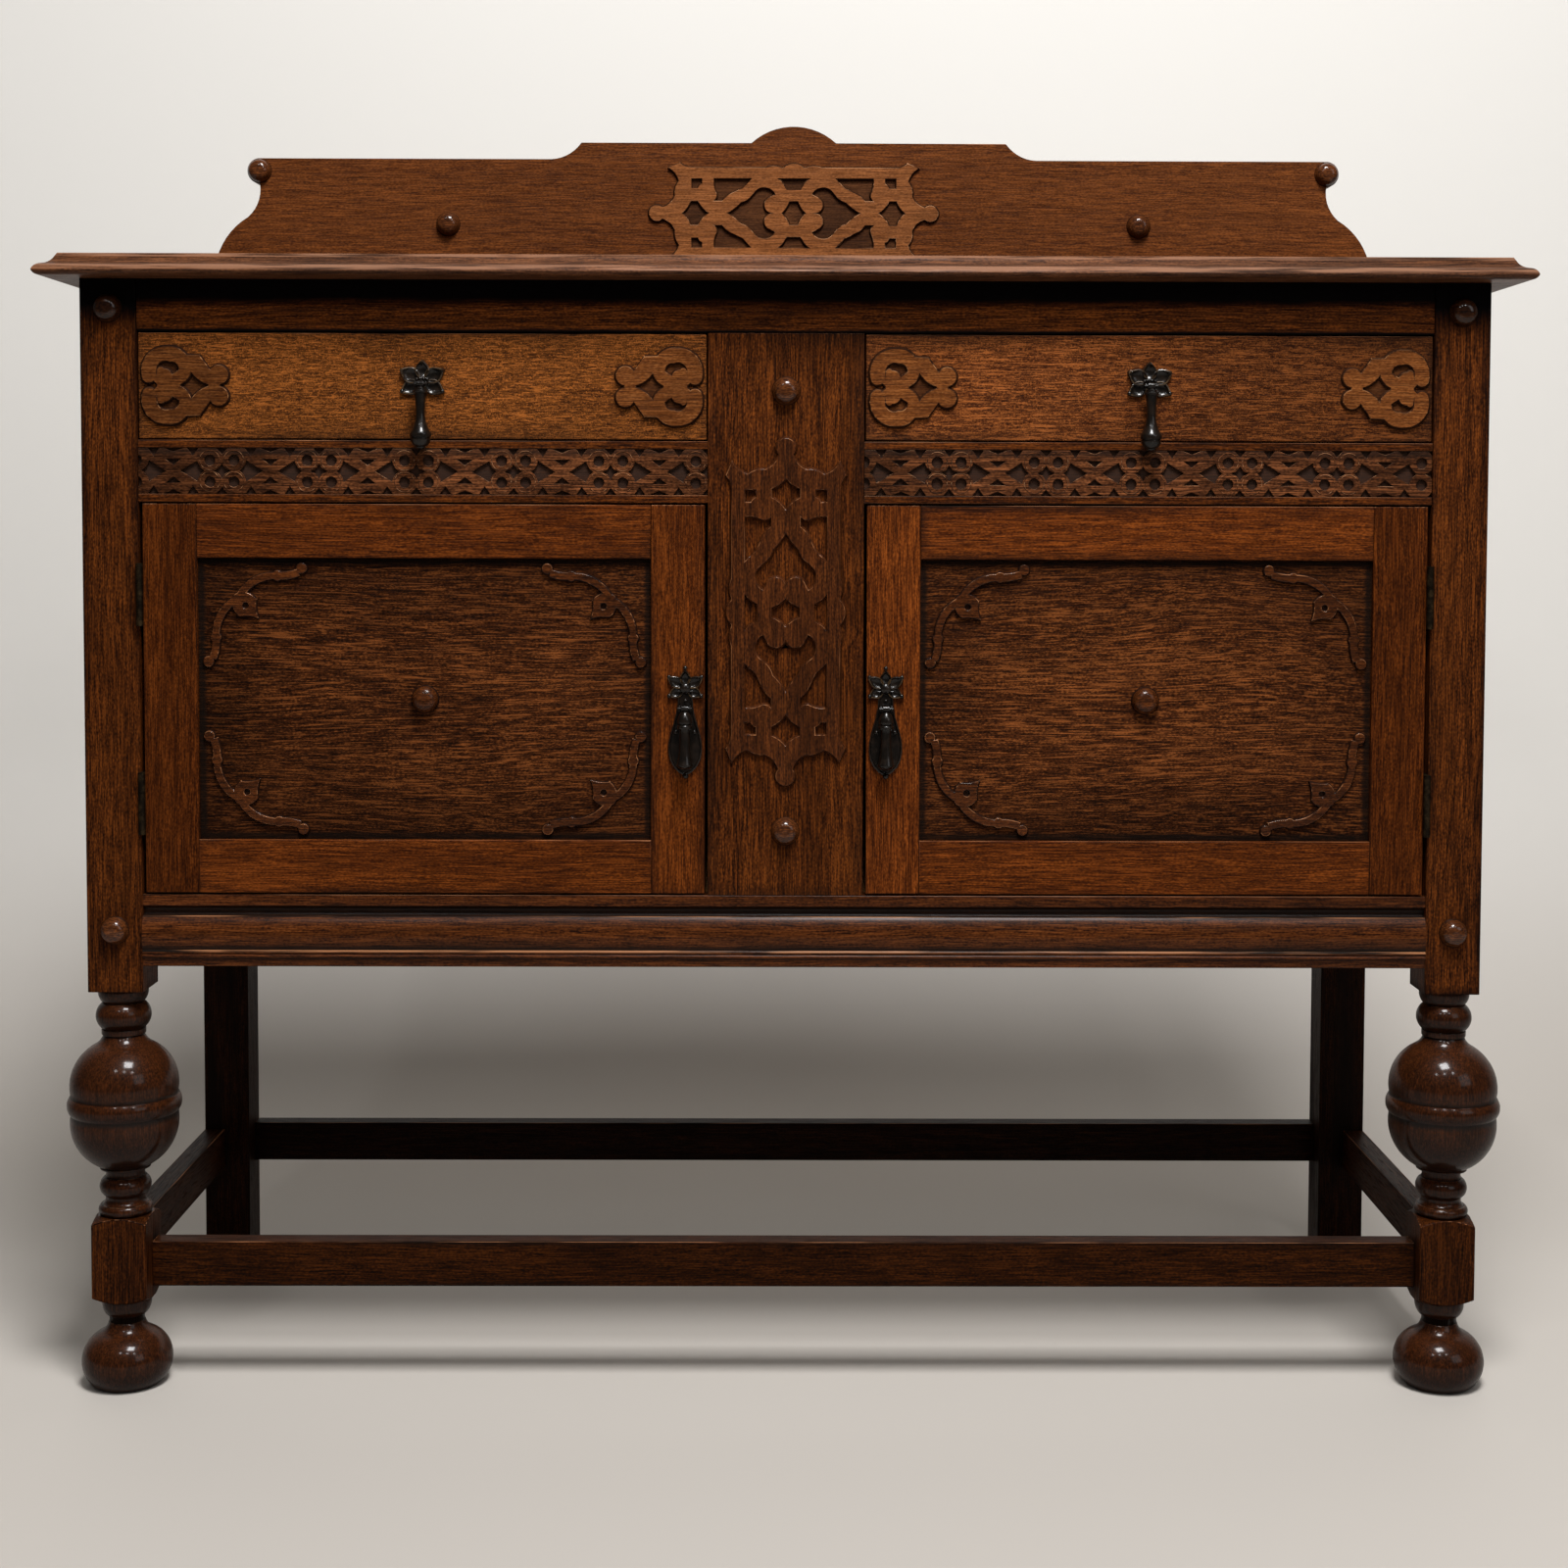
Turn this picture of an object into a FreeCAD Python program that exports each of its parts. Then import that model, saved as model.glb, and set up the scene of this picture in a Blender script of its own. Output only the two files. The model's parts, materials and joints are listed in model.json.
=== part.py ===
import FreeCAD, Part
import math
import os
from FreeCAD import Vector

# Oak sideboard on turned bulb legs: two drawers over two panelled doors, with a shaped gallery.
# Millimetres. X runs to the right, Y to the back and Z up; the origin is on the floor, at the middle.

# Top and gallery
TOP_WIDTH = 1220.0
TOP_DEPTH = 452.0
TOP_THICKNESS = 19.0
TOP_OVERHANG = 30.0
GALLERY_THICKNESS = 18.0
GALLERY_WIDTH = 1150.0
GALLERY_HEIGHT = 141.0
GALLERY_SHIFT = 6.5
GALLERY_STEP = 16.5
GALLERY_STEP_HALF = 210.5
GALLERY_STEP_RUN = 30.0
CROWN_HALF = 42.0
CROWN_RISE = 16.2
GALLERY_NECK_INSET = 45.5
GALLERY_NECK_DROP = 25.0
GALLERY_SWELL_INSET = 33.5
GALLERY_SWELL_HEIGHT = 83.0
GALLERY_FOOT_HEIGHT = 20.0
GALLERY_STUD_RADIUS = 11.0
GALLERY_STUD_SPREAD = 343.0
GALLERY_STUD_HEIGHT = 76.5

# Heights of the front, stacked upwards from the posts' lower ends
POST_DROP = 22.0
BOTTOM_RAIL_HEIGHT = 60.0
DOOR_OPENING_HEIGHT = 326.0
FRIEZE_HEIGHT = 51.0
DRAWER_OPENING_HEIGHT = 89.0
TOP_RAIL_HEIGHT = 43.0

# Legs and stretchers
POST_SIZE = 46.0
REAR_LEG_SIZE = 44.0
BLOCK_HEIGHT = 72.0
BLOCK_SHOULDER = 5.0
BULB_RADIUS = 44.0
BAND_RADIUS = 47.0
LEG_RING_RADIUS = 21.3
LEG_NECK_RADIUS = 16.5
FOOT_RADIUS = 37.5
FOOT_FLAT_RADIUS = 27.0
FOOT_NECK_RADIUS = 14.5
STRETCHER_HEIGHT = 38.0
STRETCHER_THICKNESS = 20.0
STRETCHER_LIFT = 10.0
FRONT_STRETCHER_SETBACK = 18.0
TENON_LENGTH = 18.0
TENON_THICKNESS = 9.0
TENON_SHOULDER = 6.0

# Boards and rails of the carcass
PILASTER_WIDTH = 129.0
RAIL_THICKNESS = 22.0
SETBACK = 1.5
SIDE_PANEL_THICKNESS = 10.0
SIDE_PANEL_RECESS = 6.0
SIDE_RAIL_SETBACK = 2.0
GROOVE = 6.0
BACK_PANEL_THICKNESS = 6.0
BACK_REBATE = 10.0
FLOOR_THICKNESS = 12.0
FLOOR_DROP = 2.0
DIVISION_THICKNESS = 18.0
FRIEZE_BEAD = 6.5
FRIEZE_SINK = 3.0

# Drawers
DRAWER_GAP = 1.2
DRAWER_FRONT_THICKNESS = 20.0
DRAWER_SIDE_THICKNESS = 10.0
DRAWER_BOTTOM_THICKNESS = 5.0
DRAWER_BOTTOM_LIFT = 8.0
DRAWER_BACK_CLEARANCE = 6.0
DRAWER_HEADROOM = 8.0
RUNNER_HEIGHT = 14.0
RUNNER_LEDGE = 22.0
GUIDE_HEIGHT = 18.0
RUNNING_CLEARANCE = 0.5

# Doors and hinges
DOOR_THICKNESS = 20.0
DOOR_FRAME_WIDTH = 44.5
DOOR_PANEL_THICKNESS = 9.0
DOOR_PANEL_RECESS = 5.0
DOOR_GAP = 1.5
DOOR_LOCK_GAP = 2.5
HINGE_GAP = 3.0
HINGE_HEIGHT = 52.0
HINGE_FROM_END = 75.0
HINGE_LEAF_WIDTH = 18.0
HINGE_LEAF_THICKNESS = 1.2
KNUCKLE_RADIUS = 3.0
HINGE_PROJECTION = 2.9
HINGE_PIN_RADIUS = 1.5
HINGE_CLEARANCE = 0.3
CATCH_RADIUS = 4.0
CATCH_LENGTH = 14.0
CATCH_BALL_RADIUS = 2.6
CATCH_BALL_SHOW = 1.4

# Applied ornament
STUD_RADIUS = 10.9
STUD_RIM = 2.0
STUD_HEIGHT = 9.5
POST_STUD_FROM_TOP = 24.5
POST_STUD_FROM_BOTTOM = 52.0
PILASTER_STUD_FROM_TOP = 47.5
PILASTER_STUD_FROM_BOTTOM = 54.0
FRET_THICKNESS = 3.5
GALLERY_FRET_HEIGHT = 88.0
PILASTER_FRET_FROM_TOP = 230.0
END_FRET_THICKNESS = 3.0
END_FRET_MARGIN = 3.0
SCROLL_THICKNESS = 3.0
SCROLL_WIDTH = 6.4

# Handles
DRAWER_HANDLE_HEIGHT = 46.0
DOOR_HANDLE_FROM_EDGE = 16.0
DOOR_HANDLE_HEIGHT = 157.0
PLATE_THICKNESS = 2.0
DROP_STAND = 10.0
EAR_RADIUS = 2.6
EAR_THICKNESS = 2.0
EYE_WIDTH = 5.6
EYE_CLEARANCE = 0.5
HANDLE_PIN_RADIUS = 1.1
PIN_CLEARANCE = 0.1
DROP_NECK = 3.2
DOOR_DROP_LEVEL = -16.0

# Turned members, each as (height, lower radius, upper radius, outward swell), from the bottom up
FOOT_MEMBERS = [
    (44.0, FOOT_FLAT_RADIUS, 24.0, FOOT_RADIUS - 25.5),
    (10.0, 24.0, FOOT_NECK_RADIUS + 0.5, -1.8),
    (6.0, FOOT_NECK_RADIUS, FOOT_NECK_RADIUS, 0.0),
    (14.0, 16.5, 20.0, 1.8),
]
LEG_MEMBERS = [
    (9.0, 19.8, 19.8, 2.5),
    (7.0, 19.0, 17.0, -1.4),
    (16.0, 17.0, 17.0, LEG_RING_RADIUS - 17.0),
    (7.0, LEG_NECK_RADIUS, LEG_NECK_RADIUS, -0.6),
    (2.0, 21.0, 21.0, 0.0),
    (45.0, 20.5, BULB_RADIUS, 8.5),
    (16.0, BULB_RADIUS, BULB_RADIUS, BAND_RADIUS - BULB_RADIUS),
    (42.0, BULB_RADIUS, 24.5, 7.5),
    (9.0, 24.5, 16.8, -1.3),
    (5.0, 18.2, 18.2, 0.0),
    (22.0, 17.4, 17.4, 5.4),
    (12.0, 16.8, 20.5, 1.6),
]
DRAWER_DROP_MEMBERS = [
    (2.4, 1.2, 4.0, 0.8),
    (6.0, 4.6, 8.2, 1.4),
    (1.4, 7.6, 7.6, 0.0),
    (4.0, 8.6, 8.8, 0.4),
    (13.0, 8.6, 3.9, -1.0),
    (19.2, 3.8, 5.0, -0.3),
    (2.2, 6.0, 6.0, 0.5),
    (2.0, 4.4, 4.4, 0.0),
]
DOOR_DROP_MEMBERS = [
    (3.0, 2.6, 5.8, 0.8),
    (1.2, 6.8, 6.8, 0.3),
    (27.5, 6.6, 4.3, -0.8),
    (2.0, 4.2, 4.2, 0.0),
    (3.0, 5.8, 5.8, 0.8),
    (1.0, 4.8, 4.8, 0.0),
    (9.5, 5.6, 2.8, 1.6),
]

# The fret is one quarter, mirrored both ways: (along, across, outward swell of the edge that ends here)
FRET_QUARTER = [(10.0, -45.0, 4.2), (12.0, -45.0), (28.0, -45.0, 1.6), (101.0, -45.0), (113.0, -49.5, -1.2),
                (124.5, -44.5), (114.0, -31.5, -1.8), (118.0, -17.0, 1.6), (130.3, -6.0, -2.0)]
FRET_NIB = 13.4
FRET_CENTRE_HOLE = [(-11.7, 0.0), (-4.2, -11.5, -0.9), (4.2, -11.5), (11.7, 0.0, -0.9)]
FRET_MIDDLE_HOLE = [(15.4, -34.0), (9.5, -28.0, -0.6), (6.8, -23.5)]
FRET_HEART_HOLE = [(20.5, 0.0), (23.6, -16.0, -7.2), (18.5, -18.5), (27.0, -24.8, 1.4), (37.5, -22.0, 1.4),
                   (43.0, -15.5), (52.0, -10.5, -0.8), (66.0, 0.0, -0.8)]
FRET_DIAMOND_HOLE = [(84.4, 0.0), (94.9, -11.8, -1.2), (102.2, -11.8), (110.6, 0.0, -1.2)]
FRET_WEDGE_HOLE = [(42.0, -34.0), (79.0, -34.0), (76.5, -19.5, 1.2), (79.0, -12.0, -1.2), (71.0, -12.0),
                   (62.0, -19.5, -0.8), (50.5, -25.0)]
FRET_CORNER_HOLE = [(91.0, -34.0), (101.4, -34.0), (101.4, -24.5), (95.0, -24.5), (91.0, -29.0, -0.8)]

# The drawer-end fret, lower half, measured inwards from the drawer's end and across from its middle
END_FRET_HALF = [(12.7, -0.8), (10.3, -3.2), (1.2, -4.6, 2.2), (21.0, -32.0, 9.0), (37.3, -25.0, 2.4),
                 (48.0, -24.6), (56.7, -12.7), (64.6, -1.0, 11.5)]
END_FRET_CRESCENT = [(31.0, -12.5, 2.6), (25.5, -9.0), (18.5, -13.8, -1.4), (13.0, -12.5, -2.0),
                     (23.5, -19.2, 3.6)]
END_FRET_DIAMOND = [(32.4, -0.8), (41.0, -11.0, -1.6), (55.0, -0.8, -1.6)]

# The corner scroll of a door panel: half of its branch, from its volute to the middle, and its leaf
SCROLL_VOLUTE = (86.0, 8.6)
SCROLL_VOLUTE_RADIUS = 4.4
SCROLL_BRANCH = [(84.0, 12.0), (66.0, 14.8, 1.0), (33.5, 33.5, -5.5)]
SCROLL_LEAF = [(36.0, 28.5), (48.5, 34.5, 2.0), (50.5, 50.5, -1.2), (34.5, 48.5, -1.2), (28.5, 36.0, 2.0)]
SCROLL_EYE = (39.5, 39.5)
SCROLL_EYE_RADIUS = 2.6
SCROLL_KNOT_RADIUS = 4.3


# Levels and planes worked out from the sizes above
HALF_WIDTH = TOP_WIDTH / 2 - TOP_OVERHANG
FACE = TOP_OVERHANG - TOP_DEPTH / 2
FRONT = FACE + SETBACK
BACK = TOP_DEPTH / 2
BLOCK_BOTTOM = sum(member[0] for member in FOOT_MEMBERS)
BLOCK_TOP = BLOCK_BOTTOM + BLOCK_HEIGHT
POST_BOTTOM = BLOCK_TOP + sum(member[0] for member in LEG_MEMBERS)
RAIL_BOTTOM = POST_BOTTOM + POST_DROP
DOOR_BOTTOM = RAIL_BOTTOM + BOTTOM_RAIL_HEIGHT
DOOR_TOP = DOOR_BOTTOM + DOOR_OPENING_HEIGHT
DRAWER_BOTTOM = DOOR_TOP + FRIEZE_HEIGHT
DRAWER_TOP = DRAWER_BOTTOM + DRAWER_OPENING_HEIGHT
UNDER_TOP = DRAWER_TOP + TOP_RAIL_HEIGHT
TOP_SURFACE = UNDER_TOP + TOP_THICKNESS
GALLERY_TOP = TOP_SURFACE + GALLERY_HEIGHT
GALLERY_FACE = BACK - GALLERY_THICKNESS
POST_INNER = HALF_WIDTH - POST_SIZE
POST_BACK = FACE + POST_SIZE
REAR_FACE = BACK - REAR_LEG_SIZE
REAR_INNER = HALF_WIDTH - REAR_LEG_SIZE
PILASTER_HALF = PILASTER_WIDTH / 2
RAIL_BACK = FRONT + RAIL_THICKNESS
PANEL_BACK = BACK - SIDE_RAIL_SETBACK
BACK_PANEL_FACE = PANEL_BACK - BACK_PANEL_THICKNESS
FLOOR_TOP = DOOR_BOTTOM - FLOOR_DROP
SIDE_RAIL_OUTER = HALF_WIDTH - SIDE_RAIL_SETBACK
SIDE_PANEL_OUTER = SIDE_RAIL_OUTER - SIDE_PANEL_RECESS
SIDE_PANEL_INNER = SIDE_PANEL_OUTER - SIDE_PANEL_THICKNESS
STRETCHER_BOTTOM = BLOCK_BOTTOM + STRETCHER_LIFT
STRETCHER_TOP = STRETCHER_BOTTOM + STRETCHER_HEIGHT
HINGE_AXIS_X = POST_INNER - HINGE_GAP / 2
HINGE_AXIS_Y = FACE - HINGE_PROJECTION
DOOR_OUTER = POST_INNER - HINGE_GAP
DOOR_INNER = PILASTER_HALF + DOOR_LOCK_GAP
DOOR_LOW = DOOR_BOTTOM + DOOR_GAP
DOOR_HIGH = DOOR_TOP - DOOR_GAP
DRAWER_OUTER = POST_INNER - DRAWER_GAP
DRAWER_INNER = PILASTER_HALF + DRAWER_GAP
DRAWER_MIDDLE = (DRAWER_OUTER + DRAWER_INNER) / 2
DROP_PIVOT_Y = FRONT - PLATE_THICKNESS - DROP_STAND
DRAWER_HANDLE_Z = DRAWER_BOTTOM + DRAWER_HANDLE_HEIGHT
DOOR_HANDLE_X = DOOR_INNER + DOOR_HANDLE_FROM_EDGE
DOOR_PIVOT_Z = DOOR_BOTTOM + DOOR_HANDLE_HEIGHT
DOOR_HEAD_Z = DOOR_PIVOT_Z - DOOR_DROP_LEVEL


def block(x0, x1, y0, y1, z0, z1):
    """Box between two opposite corners."""
    return Part.makeBox(x1 - x0, y1 - y0, z1 - z0, Vector(x0, y0, z0))


def swell(point):
    """Outward swell of the edge that ends at a point of an outline."""
    return point[2] if len(point) > 2 else 0.0


def closed_wire(points, place):
    """Closed wire through points that run anticlockwise; place turns two numbers into a point in space."""
    edges = []
    for index, after in enumerate(points):
        before = points[index - 1]
        run, rise = after[0] - before[0], after[1] - before[1]
        length = math.hypot(run, rise)
        start, end = place(before[0], before[1]), place(after[0], after[1])
        if swell(after):
            out = swell(after) / length
            middle = place((before[0] + after[0]) / 2 + out * rise, (before[1] + after[1]) / 2 - out * run)
            edges.append(Part.Arc(start, middle, end).toShape())
        else:
            edges.append(Part.LineSegment(start, end).toShape())
    return Part.Wire(edges)


def flipped(points, across, up):
    """Outline mirrored by two signs, still running anticlockwise with its swells outward."""
    moved = [(across * p[0], up * p[1], swell(p)) for p in points]
    if across * up > 0:
        return moved
    count = len(moved)
    return [(moved[-1 - i][0], moved[-1 - i][1], moved[(count - i) % count][2]) for i in range(count)]


def with_mirror(points, across, up, crossing=0.0):
    """Half an outline and its mirror image, joined by an edge with the crossing swell."""
    other = flipped(points, across, up)
    return points + [(other[0][0], other[0][1], crossing)] + other[1:]


def round_mirror(points):
    """Whole outline from its lower half, whose first and last points lie on the mirror line."""
    upper = flipped(points, 1, -1)[1:-1]
    return [(*points[0][:2], swell(points[1])), *points[1:], *upper]


def plate(outer, y, thickness, holes=()):
    """Board cut to an outline in the X-Z plane, from y backwards, with holes right through."""
    wires = [closed_wire(points, lambda x, z: Vector(x, y, z)) for points in [outer, *holes]]
    face = Part.makeFace(wires, "Part::FaceMakerBullseye")
    return face.extrude(Vector(0, thickness, 0))


def moulding(points, x0, x1):
    """Length of moulding with its section in the Y-Z plane."""
    wire = closed_wire(points, lambda y, z: Vector(x0, y, z))
    return Part.Face(wire).extrude(Vector(x1 - x0, 0, 0))


def turned(members, z=0.0):
    """Solid turned about the Z axis from a stack of members, from z upwards."""
    points = [(0.0, z)]
    for height, lower, upper, bulge in members:
        if points[-1][:2] != (lower, z):
            points.append((lower, z))
        z += height
        points.append((upper, z, bulge))
    points.append((0.0, z))
    wire = closed_wire(points, lambda r, level: Vector(r, 0, level))
    return Part.Face(wire).revolve(Vector(0, 0, 0), Vector(0, 0, 1), 360)


def moved(shape, x=0.0, y=0.0, z=0.0):
    """Copy of a shape, shifted."""
    copy = shape.copy()
    copy.translate(Vector(x, y, z))
    return copy


def mirrored(shape):
    """Copy of a shape on the other side of the middle plane."""
    return shape.mirror(Vector(0, 0, 0), Vector(1, 0, 0))


def group(shapes):
    """Several separate solids as one node."""
    return Part.makeCompound(shapes)


def stud(radius, x, y, z):
    """Turned half-round stud standing forward of the plane y."""
    dome = turned([(STUD_RIM, radius, radius, 0.0),
                   (STUD_HEIGHT - STUD_RIM, radius, radius * 0.12, radius * 0.28)])
    dome.rotate(Vector(0, 0, 0), Vector(1, 0, 0), 90)
    return moved(dome, x, y, z)


# Frame of the stand

def stretcher_tenon(x0, x1, y0, y1):
    """Box of a stretcher's tenons, as long as given and shouldered above and below."""
    return block(x0, x1, y0, y1, STRETCHER_BOTTOM + TENON_SHOULDER, STRETCHER_TOP - TENON_SHOULDER)


def long_stretcher(y):
    """Front or rear stretcher with its tenons, its face at y."""
    reach = POST_INNER if y < 0 else REAR_INNER
    tenon_y = y + (STRETCHER_THICKNESS - TENON_THICKNESS) / 2
    bar = block(-reach, reach, y, y + STRETCHER_THICKNESS, STRETCHER_BOTTOM, STRETCHER_TOP)
    tenon = stretcher_tenon(-reach - TENON_LENGTH, reach + TENON_LENGTH, tenon_y, tenon_y + TENON_THICKNESS)
    return bar.fuse(tenon).removeSplitter()


def side_stretcher():
    """Right-hand stretcher with its tenons, flush with the outsides of the legs."""
    inner = HALF_WIDTH - STRETCHER_THICKNESS
    tenon_x = inner + (STRETCHER_THICKNESS - TENON_THICKNESS) / 2
    bar = block(inner, HALF_WIDTH, POST_BACK, REAR_FACE, STRETCHER_BOTTOM, STRETCHER_TOP)
    tenon = stretcher_tenon(tenon_x, tenon_x + TENON_THICKNESS, POST_BACK - TENON_LENGTH,
                            REAR_FACE + TENON_LENGTH)
    return bar.fuse(tenon).removeSplitter()


def front_leg():
    """Right front leg: post, turned bulb, square block with arched shoulders, and bun foot."""
    half = POST_SIZE / 2
    post = block(-half, half, -half, half, POST_BOTTOM, UNDER_TOP)
    square = block(-half, half, -half, half, BLOCK_BOTTOM, BLOCK_TOP)
    corner = half * math.sqrt(2)
    shoulder = (BLOCK_SHOULDER, half, corner, 0.0)
    arches = turned([shoulder, (BLOCK_HEIGHT - 2 * BLOCK_SHOULDER, corner, corner, 0.0),
                     (BLOCK_SHOULDER, corner, half, 0.0)], BLOCK_BOTTOM)
    leg = post.fuse([turned(LEG_MEMBERS, BLOCK_TOP), square.common(arches), turned(FOOT_MEMBERS)])
    return moved(leg.removeSplitter(), HALF_WIDTH - half, FACE + half)


def rear_leg():
    """Right rear leg, a plain square post with a rebate for the back panel."""
    leg = block(REAR_INNER, HALF_WIDTH, REAR_FACE, BACK, 0, UNDER_TOP)
    return leg.cut(block(REAR_INNER, REAR_INNER + BACK_REBATE, BACK_PANEL_FACE, BACK, RAIL_BOTTOM, UNDER_TOP))


# Top and gallery

def nose(reach, low):
    """Section of the top's moulded edge from its lower lip upwards, as (distance out, height)."""
    rise = TOP_THICKNESS / 19.0
    return [(reach - 5.0, low), (reach, low + 3.8 * rise, 1.0), (reach - 6.5, low + 9.6 * rise, 1.4),
            (reach - 14.8, low + 16.2 * rise, -1.3), (reach - 16.5, low + TOP_THICKNESS)]


def top_board():
    """Top with the same ogee nose on its front and ends, mitred at the corners, and a plain back edge."""
    across = with_mirror(nose(TOP_WIDTH / 2, UNDER_TOP), -1, 1)
    along = plate(across, -TOP_DEPTH / 2, TOP_DEPTH)
    front = [(BACK, UNDER_TOP), (BACK, TOP_SURFACE), *flipped(nose(TOP_DEPTH / 2, UNDER_TOP), -1, 1)]
    front[2] = (front[2][0], front[2][1], 0.0)
    return along.common(moulding(front, -TOP_WIDTH / 2, TOP_WIDTH / 2))


def gallery_board():
    """Gallery with ogee ends, studded corners, stepped top and a low crown."""
    end = GALLERY_WIDTH / 2
    neck = end - GALLERY_NECK_INSET
    lobe = 2 * (GALLERY_STUD_RADIUS + 1.2)
    step = GALLERY_STEP_HALF
    half = [(end, TOP_SURFACE), (end, TOP_SURFACE + GALLERY_FOOT_HEIGHT),
            (end - GALLERY_SWELL_INSET, TOP_SURFACE + GALLERY_SWELL_HEIGHT, 10.0),
            (neck, GALLERY_TOP - GALLERY_NECK_DROP, -4.5), (neck, GALLERY_TOP, lobe / 2),
            (step + GALLERY_STEP_RUN, GALLERY_TOP), (step, GALLERY_TOP + GALLERY_STEP, -4.0),
            (CROWN_HALF, GALLERY_TOP + GALLERY_STEP)]
    board = plate(with_mirror(half, -1, 1, CROWN_RISE), GALLERY_FACE, GALLERY_THICKNESS)
    return moved(board, GALLERY_SHIFT)


def gallery_studs():
    """Four studs: two in the lobes at the upper corners, two half-way out."""
    lobe = GALLERY_WIDTH / 2 - GALLERY_NECK_INSET
    places = [(lobe, GALLERY_TOP - GALLERY_NECK_DROP / 2),
              (GALLERY_STUD_SPREAD, TOP_SURFACE + GALLERY_STUD_HEIGHT)]
    return group([stud(GALLERY_STUD_RADIUS, GALLERY_SHIFT + side * x, GALLERY_FACE, z)
                  for side in (-1, 1) for x, z in places])


def strapwork_fret(upright, x, y, z):
    """Interlaced strapwork fret, lying along or standing upright, its middle at x and z and its back at y."""
    outer = with_mirror(with_mirror(FRET_QUARTER, 1, -1, FRET_NIB), -1, 1, swell(FRET_QUARTER[0]))
    middle = with_mirror(FRET_MIDDLE_HOLE, -1, 1)
    holes = [round_mirror(FRET_CENTRE_HOLE), middle, flipped(middle, 1, -1)]
    holes += [flipped(round_mirror(hole), side, 1) for hole in (FRET_HEART_HOLE, FRET_DIAMOND_HOLE)
              for side in (-1, 1)]
    holes += [flipped(hole, side, up) for hole in (FRET_WEDGE_HOLE, FRET_CORNER_HOLE)
              for side in (-1, 1) for up in (-1, 1)]
    fret = plate(outer, 0, FRET_THICKNESS, holes)
    if upright:
        fret.rotate(Vector(0, 0, 0), Vector(0, 1, 0), 90)
    return moved(fret, x, y - FRET_THICKNESS, z)


# Carcass

def side_panel():
    """Right side panel, its edges in the grooves of the legs and side rails."""
    return block(SIDE_PANEL_INNER, SIDE_PANEL_OUTER, POST_BACK - GROOVE, REAR_FACE + GROOVE,
                 DOOR_BOTTOM - GROOVE, DRAWER_TOP + GROOVE)


def side_rails():
    """Right side's lower and upper rails, with the side panel's grooves."""
    inner = SIDE_RAIL_OUTER - RAIL_THICKNESS
    rails = [block(inner, SIDE_RAIL_OUTER, POST_BACK, REAR_FACE, low, high)
             for low, high in ((RAIL_BOTTOM, DOOR_BOTTOM), (DRAWER_TOP, UNDER_TOP))]
    return group([rail.cut(side_panel()) for rail in rails])


def back_panel():
    """Thin back, let into the rear legs."""
    half = REAR_INNER + BACK_REBATE
    return block(-half, half, BACK_PANEL_FACE, PANEL_BACK, RAIL_BOTTOM, UNDER_TOP)


def back_rails():
    """Lower and upper rails between the rear legs, in front of the back panel."""
    return [block(-REAR_INNER, REAR_INNER, BACK_PANEL_FACE - RAIL_THICKNESS, BACK_PANEL_FACE, low, high)
            for low, high in ((RAIL_BOTTOM, FLOOR_TOP - FLOOR_THICKNESS), (DRAWER_TOP, UNDER_TOP))]


def corner_posts():
    """The four posts as plain boxes, for notching the boards that meet them."""
    boxes = []
    for side in (-1, 1):
        x0, x1 = sorted((side * POST_INNER, side * HALF_WIDTH))
        boxes.append(block(x0, x1, FACE, POST_BACK, POST_BOTTOM, UNDER_TOP))
        x0, x1 = sorted((side * REAR_INNER, side * HALF_WIDTH))
        boxes.append(block(x0, x1, REAR_FACE, BACK, 0, UNDER_TOP))
    return boxes


def bottom_board():
    """Floor of the cupboards, notched round the posts."""
    half = SIDE_RAIL_OUTER - RAIL_THICKNESS
    board = block(-half, half, RAIL_BACK, BACK_PANEL_FACE, FLOOR_TOP - FLOOR_THICKNESS, FLOOR_TOP)
    return board.cut(corner_posts())


def centre_division():
    """Upright board between the cupboards and the drawers."""
    half = DIVISION_THICKNESS / 2
    board = block(-half, half, RAIL_BACK, BACK_PANEL_FACE, FLOOR_TOP, UNDER_TOP)
    return board.cut(back_rails())


def frieze_rail():
    """Right frieze rail with a sunk field for the carving, between two plain beads."""
    rail = block(PILASTER_HALF, POST_INNER, FRONT, RAIL_BACK, DOOR_TOP, DRAWER_BOTTOM)
    field = block(PILASTER_HALF, POST_INNER, FRONT, FRONT + FRIEZE_SINK, DOOR_TOP + FRIEZE_BEAD,
                  DRAWER_BOTTOM - FRIEZE_BEAD)
    return rail.cut(field)


def bottom_front_rail():
    """Moulded bottom rail: flat bead, cove, broad rounded face, two small beads and a fillet."""
    rise = BOTTOM_RAIL_HEIGHT / 60.0
    levels = [(0.0, 60.0), (0.0, 50.5), (4.5, 46.5, -1.2), (4.5, 43.0), (1.0, 42.0), (-1.5, 14.0, 4.0),
              (-1.5, 10.5, 1.2), (-1.5, 7.0, 1.2), (-0.5, 7.0), (-0.5, 0.0)]
    section = [(FRONT + p[0], RAIL_BOTTOM + p[1] * rise, swell(p)) for p in levels]
    section += [(RAIL_BACK, RAIL_BOTTOM), (RAIL_BACK, DOOR_BOTTOM)]
    return moulding(section, -POST_INNER, POST_INNER)


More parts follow.
